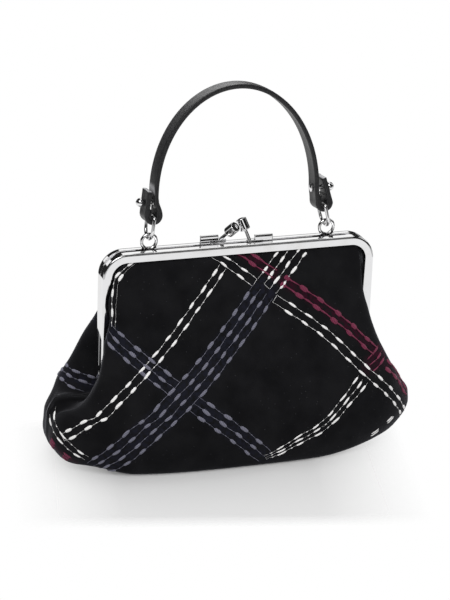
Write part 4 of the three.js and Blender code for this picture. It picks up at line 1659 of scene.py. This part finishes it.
    def stud(self, end: End) -> None:
        """Makes a ball stud with its flat inner head, and its flange between the layers."""
        place = self.ends[end]
        strap, tab = self.layers(place)
        head, high = self.stud_head
        shank, ball, half = self.stud_shank, self.stud_ball, self.thick / 2
        seat = strap - half - self.crown
        start = math.pi - math.asin(shank / ball)
        middle = tab + half + ball * self.ball_seat
        dome = [(ball * math.sin(t), middle + ball * math.cos(t)) for t in np.linspace(start, 0, 14)]
        near, far, neck = strap + half + self.layer_gap, tab - half - self.layer_gap, self.neck
        (full, step), cut = self.flange, self.flange_round
        profile = [
            (0, seat - high), (head - 0.3, seat - high), (head, seat - high + 0.25), (head, seat),
            (shank, seat), (shank, near), (full - cut, near), (full, near + cut),
            (full, near + step - cut), (full - cut, near + step), (neck, near + step + 0.1),
            (neck, far), (shank, far), *dome[:-1], (0, middle + ball)]
        piece = Bench.turned(f"polished_stud_{end.label}", profile, steps=32)
        Bench.turn_to(
            piece, Vector((end.value, 0, 0)), Vector((0, 0, place.stud_z - self.link_bottom)))
        self.hang(piece)
        Bench.finish(piece, "chrome", self.chrome, (f"stud_{end.label}",), flat=True)

    def links(self) -> None:
        """Draws a wire section round the D of a link, then hangs one at each end."""
        half, corner = self.link_half, self.link_corner
        shoulder = self.link_height - corner
        Bench.fresh()
        bpy.ops.mesh.primitive_circle_add(vertices=14, radius=self.link_wire, location=(0, half, half))
        right = Bench.take("polished_link_right")
        with Bench.editing(right):
            bpy.ops.mesh.extrude_region_move(TRANSFORM_OT_translate={"value": (0, 0, shoulder - half)})
            self.bend((0, half - corner, shoulder), 90, steps=6)
            bpy.ops.mesh.extrude_region_move(
                TRANSFORM_OT_translate={"value": (0, 2 * (corner - half), 0)})
            self.bend((0, corner - half, shoulder), 90, steps=6)
            bpy.ops.mesh.extrude_region_move(TRANSFORM_OT_translate={"value": (0, 0, half - shoulder)})
            self.bend((0, 0, half), 180, steps=24)
        Bench.weld(right)
        for end, piece in ((End.RIGHT, right), (End.LEFT, Bench.copy(right, "polished_link_left"))):
            place = self.ends[end]
            x = end.value * place.eye_x - self.sway
            tilt = math.asin((end.value * place.fold[0] - x) / self.link_height)
            piece.data.transform(Matrix.Translation((x, 0, 0)) @ Matrix.Rotation(tilt, 4, "Y"))
            self.hang(piece)
            Bench.finish(piece, "chrome", self.chrome, (f"link_{end.label}",))

    @staticmethod
    def bend(centre: Triple, angle: float, steps: int) -> None:
        """Spins the selected wire section about an axis along x."""
        bpy.ops.mesh.spin(steps=steps, angle=-math.radians(angle), center=centre, axis=(1, 0, 0))


@dataclass(frozen=True)
class LitPatch:
    """A bright part of the room that the polished metal mirrors.

    Attributes:
        azimuth: direction of its middle, in degrees from straight behind the bag to the right.
        elevation: height of its middle, in degrees.
        reach: half its size, in degrees.
        soft: share of its reach over which it fades.
        level: its brightness.
    """

    azimuth: float
    elevation: float
    reach: float
    soft: float
    level: float

    def direction(self) -> Vector:
        """Gives the direction of its middle."""
        turn, rise = math.radians(self.azimuth), math.radians(self.elevation)
        return Vector((math.sin(turn) * math.cos(rise), math.cos(turn) * math.cos(rise), math.sin(rise)))

    def edges(self) -> Pair:
        """Gives the cosines of the angles at which it starts and is full."""
        return tuple(math.cos(math.radians(self.reach * share)) for share in (1, 1 - self.soft))


@dataclass(frozen=True)
class Lamp:
    """A soft square lamp that faces the bag, in metres.

    Attributes:
        name: its name.
        place: where it stands.
        size: length of its sides.
        power: its power, in watts.
        mirrored: whether polished metal shows it.
        only: name of the one piece that it lights, if it doesn't light all.
        aim: point that it faces.
    """

    name: str
    place: Triple
    size: float
    power: float
    mirrored: bool = True
    only: str = ""
    aim: Triple = (0, 0, 0.1)

    def build(self) -> None:
        """Adds the lamp to the scene."""
        data = bpy.data.lights.new(self.name, "AREA")
        data.size, data.energy = self.size, self.power
        lamp = bpy.data.objects.new(self.name, data)
        bpy.context.scene.collection.objects.link(lamp)
        lamp.location = self.place
        facing = Vector(self.aim) - Vector(self.place)
        lamp.rotation_euler = facing.to_track_quat("-Z", "Y").to_euler()
        lamp.visible_glossy = self.mirrored
        if self.only:
            lit = bpy.data.collections.new(f"{self.name}_on")
            lit.objects.link(bpy.data.objects[self.only])
            lamp.light_linking.receiver_collection = lit


@dataclass
class Studio:
    """Pale floor with a painted patch of shade about the bag, even white light, and a dark room with
    bright patches to mirror.

    Attributes:
        floor_radius: size of the floor, in metres.
        floor_middle: middle of the part that shows, a grey patch of painted shade about the bag, in
            metres.
        floor_turn: how far that part is turned, in degrees.
        floor_size: half its length and width, in metres.
        floor_fade: shares of those where the floor is gone and where it shows in full.
        floor_alpha: how much of the floor shows at most; below full, so the rendered shadow on it is
            paled.
        floor_colour: its colour.
        sky: brightness of the even light.
        backdrop: brightness of the background.
        room: brightness of the dark room that polished metal mirrors.
        patches: bright parts of that room; the last ring of them serves views from other sides.
        lamps: soft lamps.
    """

    floor_radius: float = 0.25
    floor_middle: Pair = (-0.0205, -0.0423)
    floor_turn: float = -13.4
    floor_size: Pair = (0.122, 0.072)
    floor_fade: tuple[Pair, Pair] = ((1.04, 0.5), (1.11, 0.9))
    floor_alpha: float = 0.85
    floor_colour: RGB = (0.66, 0.66, 0.66)
    sky: float = 0.7
    backdrop: float = 1.0
    room: float = 0.018
    patches: tuple[LitPatch, ...] = (
        LitPatch(19, 24, 11, 0.15, 1.05),
        LitPatch(19.5, 50, 17, 0.1, 1.05),
        LitPatch(70, 72, 14, 0.1, 1.05),
        LitPatch(-24.5, 14.5, 8.5, 0.3, 1.0),
        LitPatch(0, 90, 9, 0.15, 1.1),
        LitPatch(0, -90, 72, 0.012, 0.9),
        LitPatch(160.2, 19.5, 4.0, 0.15, 1.05),
        LitPatch(178, 24, 11, 0.2, 1.05),
        LitPatch(80, 30, 17, 0.15, 1.05),
        *(LitPatch(turn, -13, 14, 0.3, 0.6) for turn in (
            0, 25, 50, 75, 100, 125, 188, 210, 235, 260, 285, 310)),
    )
    lamps: tuple[Lamp, ...] = (
        Lamp("key", (-0.7, -1.0, 1.5), 1.1, 12),
        Lamp("fill", (0.9, -0.9, 1.0), 0.9, 3, mirrored=False),
        Lamp("top", (0.1, 0.5, 1.2), 0.8, 5, mirrored=False),
        Lamp("shine", (0.1, 1.15, 0.8), 0.8, 4, only="leather_strap"),
    )

    def build(self) -> None:
        """Sets up the floor, the surroundings and the lamps."""
        bpy.context.scene.view_settings.view_transform = "Standard"
        self.floor()
        self.surroundings()
        for lamp in self.lamps:
            lamp.build()

    def floor(self) -> None:
        """Lays the floor: a grey patch of painted shade about the bag, on which the rendered shadow
        falls, and which fades into the white backdrop away from the bag.
        """
        Bench.fresh()
        bpy.ops.mesh.primitive_circle_add(
            vertices=96, radius=self.floor_radius, fill_type="NGON")
        floor = Bench.take("floor")
        shader = Shader("floor")
        shader.set(Base_Color=(*self.floor_colour, 1), Roughness=0.9, Specular_IOR_Level=0.1)
        shares = shader.tree.nodes.new("ShaderNodeMapping")
        shares.vector_type = "TEXTURE"
        shares.inputs["Location"].default_value = (*self.floor_middle, 0)
        shares.inputs["Rotation"].default_value = (0, 0, math.radians(self.floor_turn))
        shares.inputs["Scale"].default_value = (*self.floor_size, 1)
        shader.link(shader.place, shares.inputs["Vector"])
        split = shader.tree.nodes.new("ShaderNodeSeparateXYZ")
        shader.link(shares.outputs["Vector"], split.inputs[0])
        # The floor's opacity paints the shade patch: grey about the bag, gone into the white backdrop
        # further out, and never full, which pales the rendered shadow.
        shown = self.floor_alpha
        for part, (outer, inner) in zip(split.outputs, self.floor_fade):
            span = combine(shader.tree, "ABSOLUTE", part, 0)
            shown = combine(shader.tree, "MULTIPLY", shader.ramp(span, outer, inner), shown)
        shader.link(shown, shader.surface.inputs["Alpha"])
        floor.data.materials.append(shader.material)

    def surroundings(self) -> None:
        """Makes even white surroundings, of which mirrors see only a dark room with bright patches."""
        world = bpy.data.worlds.new("surroundings")
        world.use_nodes = True
        bpy.context.scene.world = world
        tree = world.node_tree
        tree.nodes.clear()
        direction = tree.nodes.new("ShaderNodeTexCoord").outputs["Generated"]

        def edge(value: bpy.types.NodeSocket, low: float, high: float) -> bpy.types.NodeSocket:
            """Ramps softly from 0 at low to 1 at high."""
            node = tree.nodes.new("ShaderNodeMapRange")
            node.interpolation_type = "SMOOTHSTEP"
            node.inputs["From Min"].default_value = low
            node.inputs["From Max"].default_value = high
            tree.links.new(value, node.inputs["Value"])
            return node.outputs["Result"]

        shown = self.room
        for patch in self.patches:
            dot = tree.nodes.new("ShaderNodeVectorMath")
            dot.operation = "DOT_PRODUCT"
            dot.inputs[1].default_value = patch.direction()
            tree.links.new(direction, dot.inputs[0])
            mask = combine(tree, "MULTIPLY", edge(dot.outputs["Value"], *patch.edges()), patch.level)
            shown = combine(tree, "MAXIMUM", mask, shown)
        rays = tree.nodes.new("ShaderNodeLightPath").outputs
        mirrored = combine(tree, "SUBTRACT", shown, self.sky)
        mirrored = combine(tree, "MULTIPLY", mirrored, rays["Is Glossy Ray"])
        seen = combine(tree, "MULTIPLY", rays["Is Camera Ray"], self.backdrop - self.sky)
        change = combine(tree, "ADD", mirrored, seen)
        background = tree.nodes.new("ShaderNodeBackground")
        background.inputs["Color"].default_value = (1, 1, 1, 1)
        tree.links.new(combine(tree, "ADD", change, self.sky), background.inputs["Strength"])
        output = tree.nodes.new("ShaderNodeOutputWorld")
        tree.links.new(background.outputs["Background"], output.inputs["Surface"])


@dataclass
class PhotoCamera:
    """The camera of the picture.

    Attributes:
        azimuth: how far to the left of the bag's front it stands, in degrees.
        elevation: how far it looks down, in degrees.
        roll: how far it is tilted, in degrees.
        distance: distance from the point that it looks at.
        target: that point.
        lens: focal length.
        sensor: width of the sensor.
        clip: nearest distance that it sees, in metres.
    """

    azimuth: float = 19.5
    elevation: float = 21.0
    roll: float = 2.2
    distance: float = 1521
    target: Triple = (-7.4, 0, 97.6)
    lens: float = 144
    sensor: float = 36
    clip: float = 0.05

    def build(self) -> None:
        """Adds the camera and makes it the scene's."""
        turn, rise, roll = (math.radians(a) for a in (self.azimuth, self.elevation, self.roll))
        back = Vector((
            -math.sin(turn) * math.cos(rise), -math.cos(turn) * math.cos(rise), math.sin(rise)))
        level = (-back).cross(Vector((0, 0, 1))).normalized()
        upright = level.cross(-back)
        right = level * math.cos(roll) + upright * math.sin(roll)
        up = upright * math.cos(roll) - level * math.sin(roll)
        data = bpy.data.cameras.new("camera")
        data.lens, data.sensor_width, data.clip_start = self.lens, self.sensor, self.clip
        camera = bpy.data.objects.new("camera", data)
        bpy.context.scene.collection.objects.link(camera)
        place = (Vector(self.target) + back * self.distance) * MM + Bench.middle
        axes = Matrix((right, up, back)).transposed().to_4x4()
        camera.matrix_world = Matrix.Translation(place) @ axes
        bpy.context.scene.camera = camera


def main() -> None:
    """Builds the bag, then the studio and the camera."""
    logging.basicConfig(level=logging.INFO, format="%(name)s %(message)s")
    chrome = ChromeFinish().make()
    pouch = Pouch(VelvetFinish().make())
    pouch.build()
    Plaid(pouch).build()
    SnapFrame(chrome).build()
    Clasp(chrome).build()
    StrapHandle(LeatherFinish().make(), chrome).build()
    Studio().build()
    PhotoCamera().build()


if __name__ == "__main__":
    main()
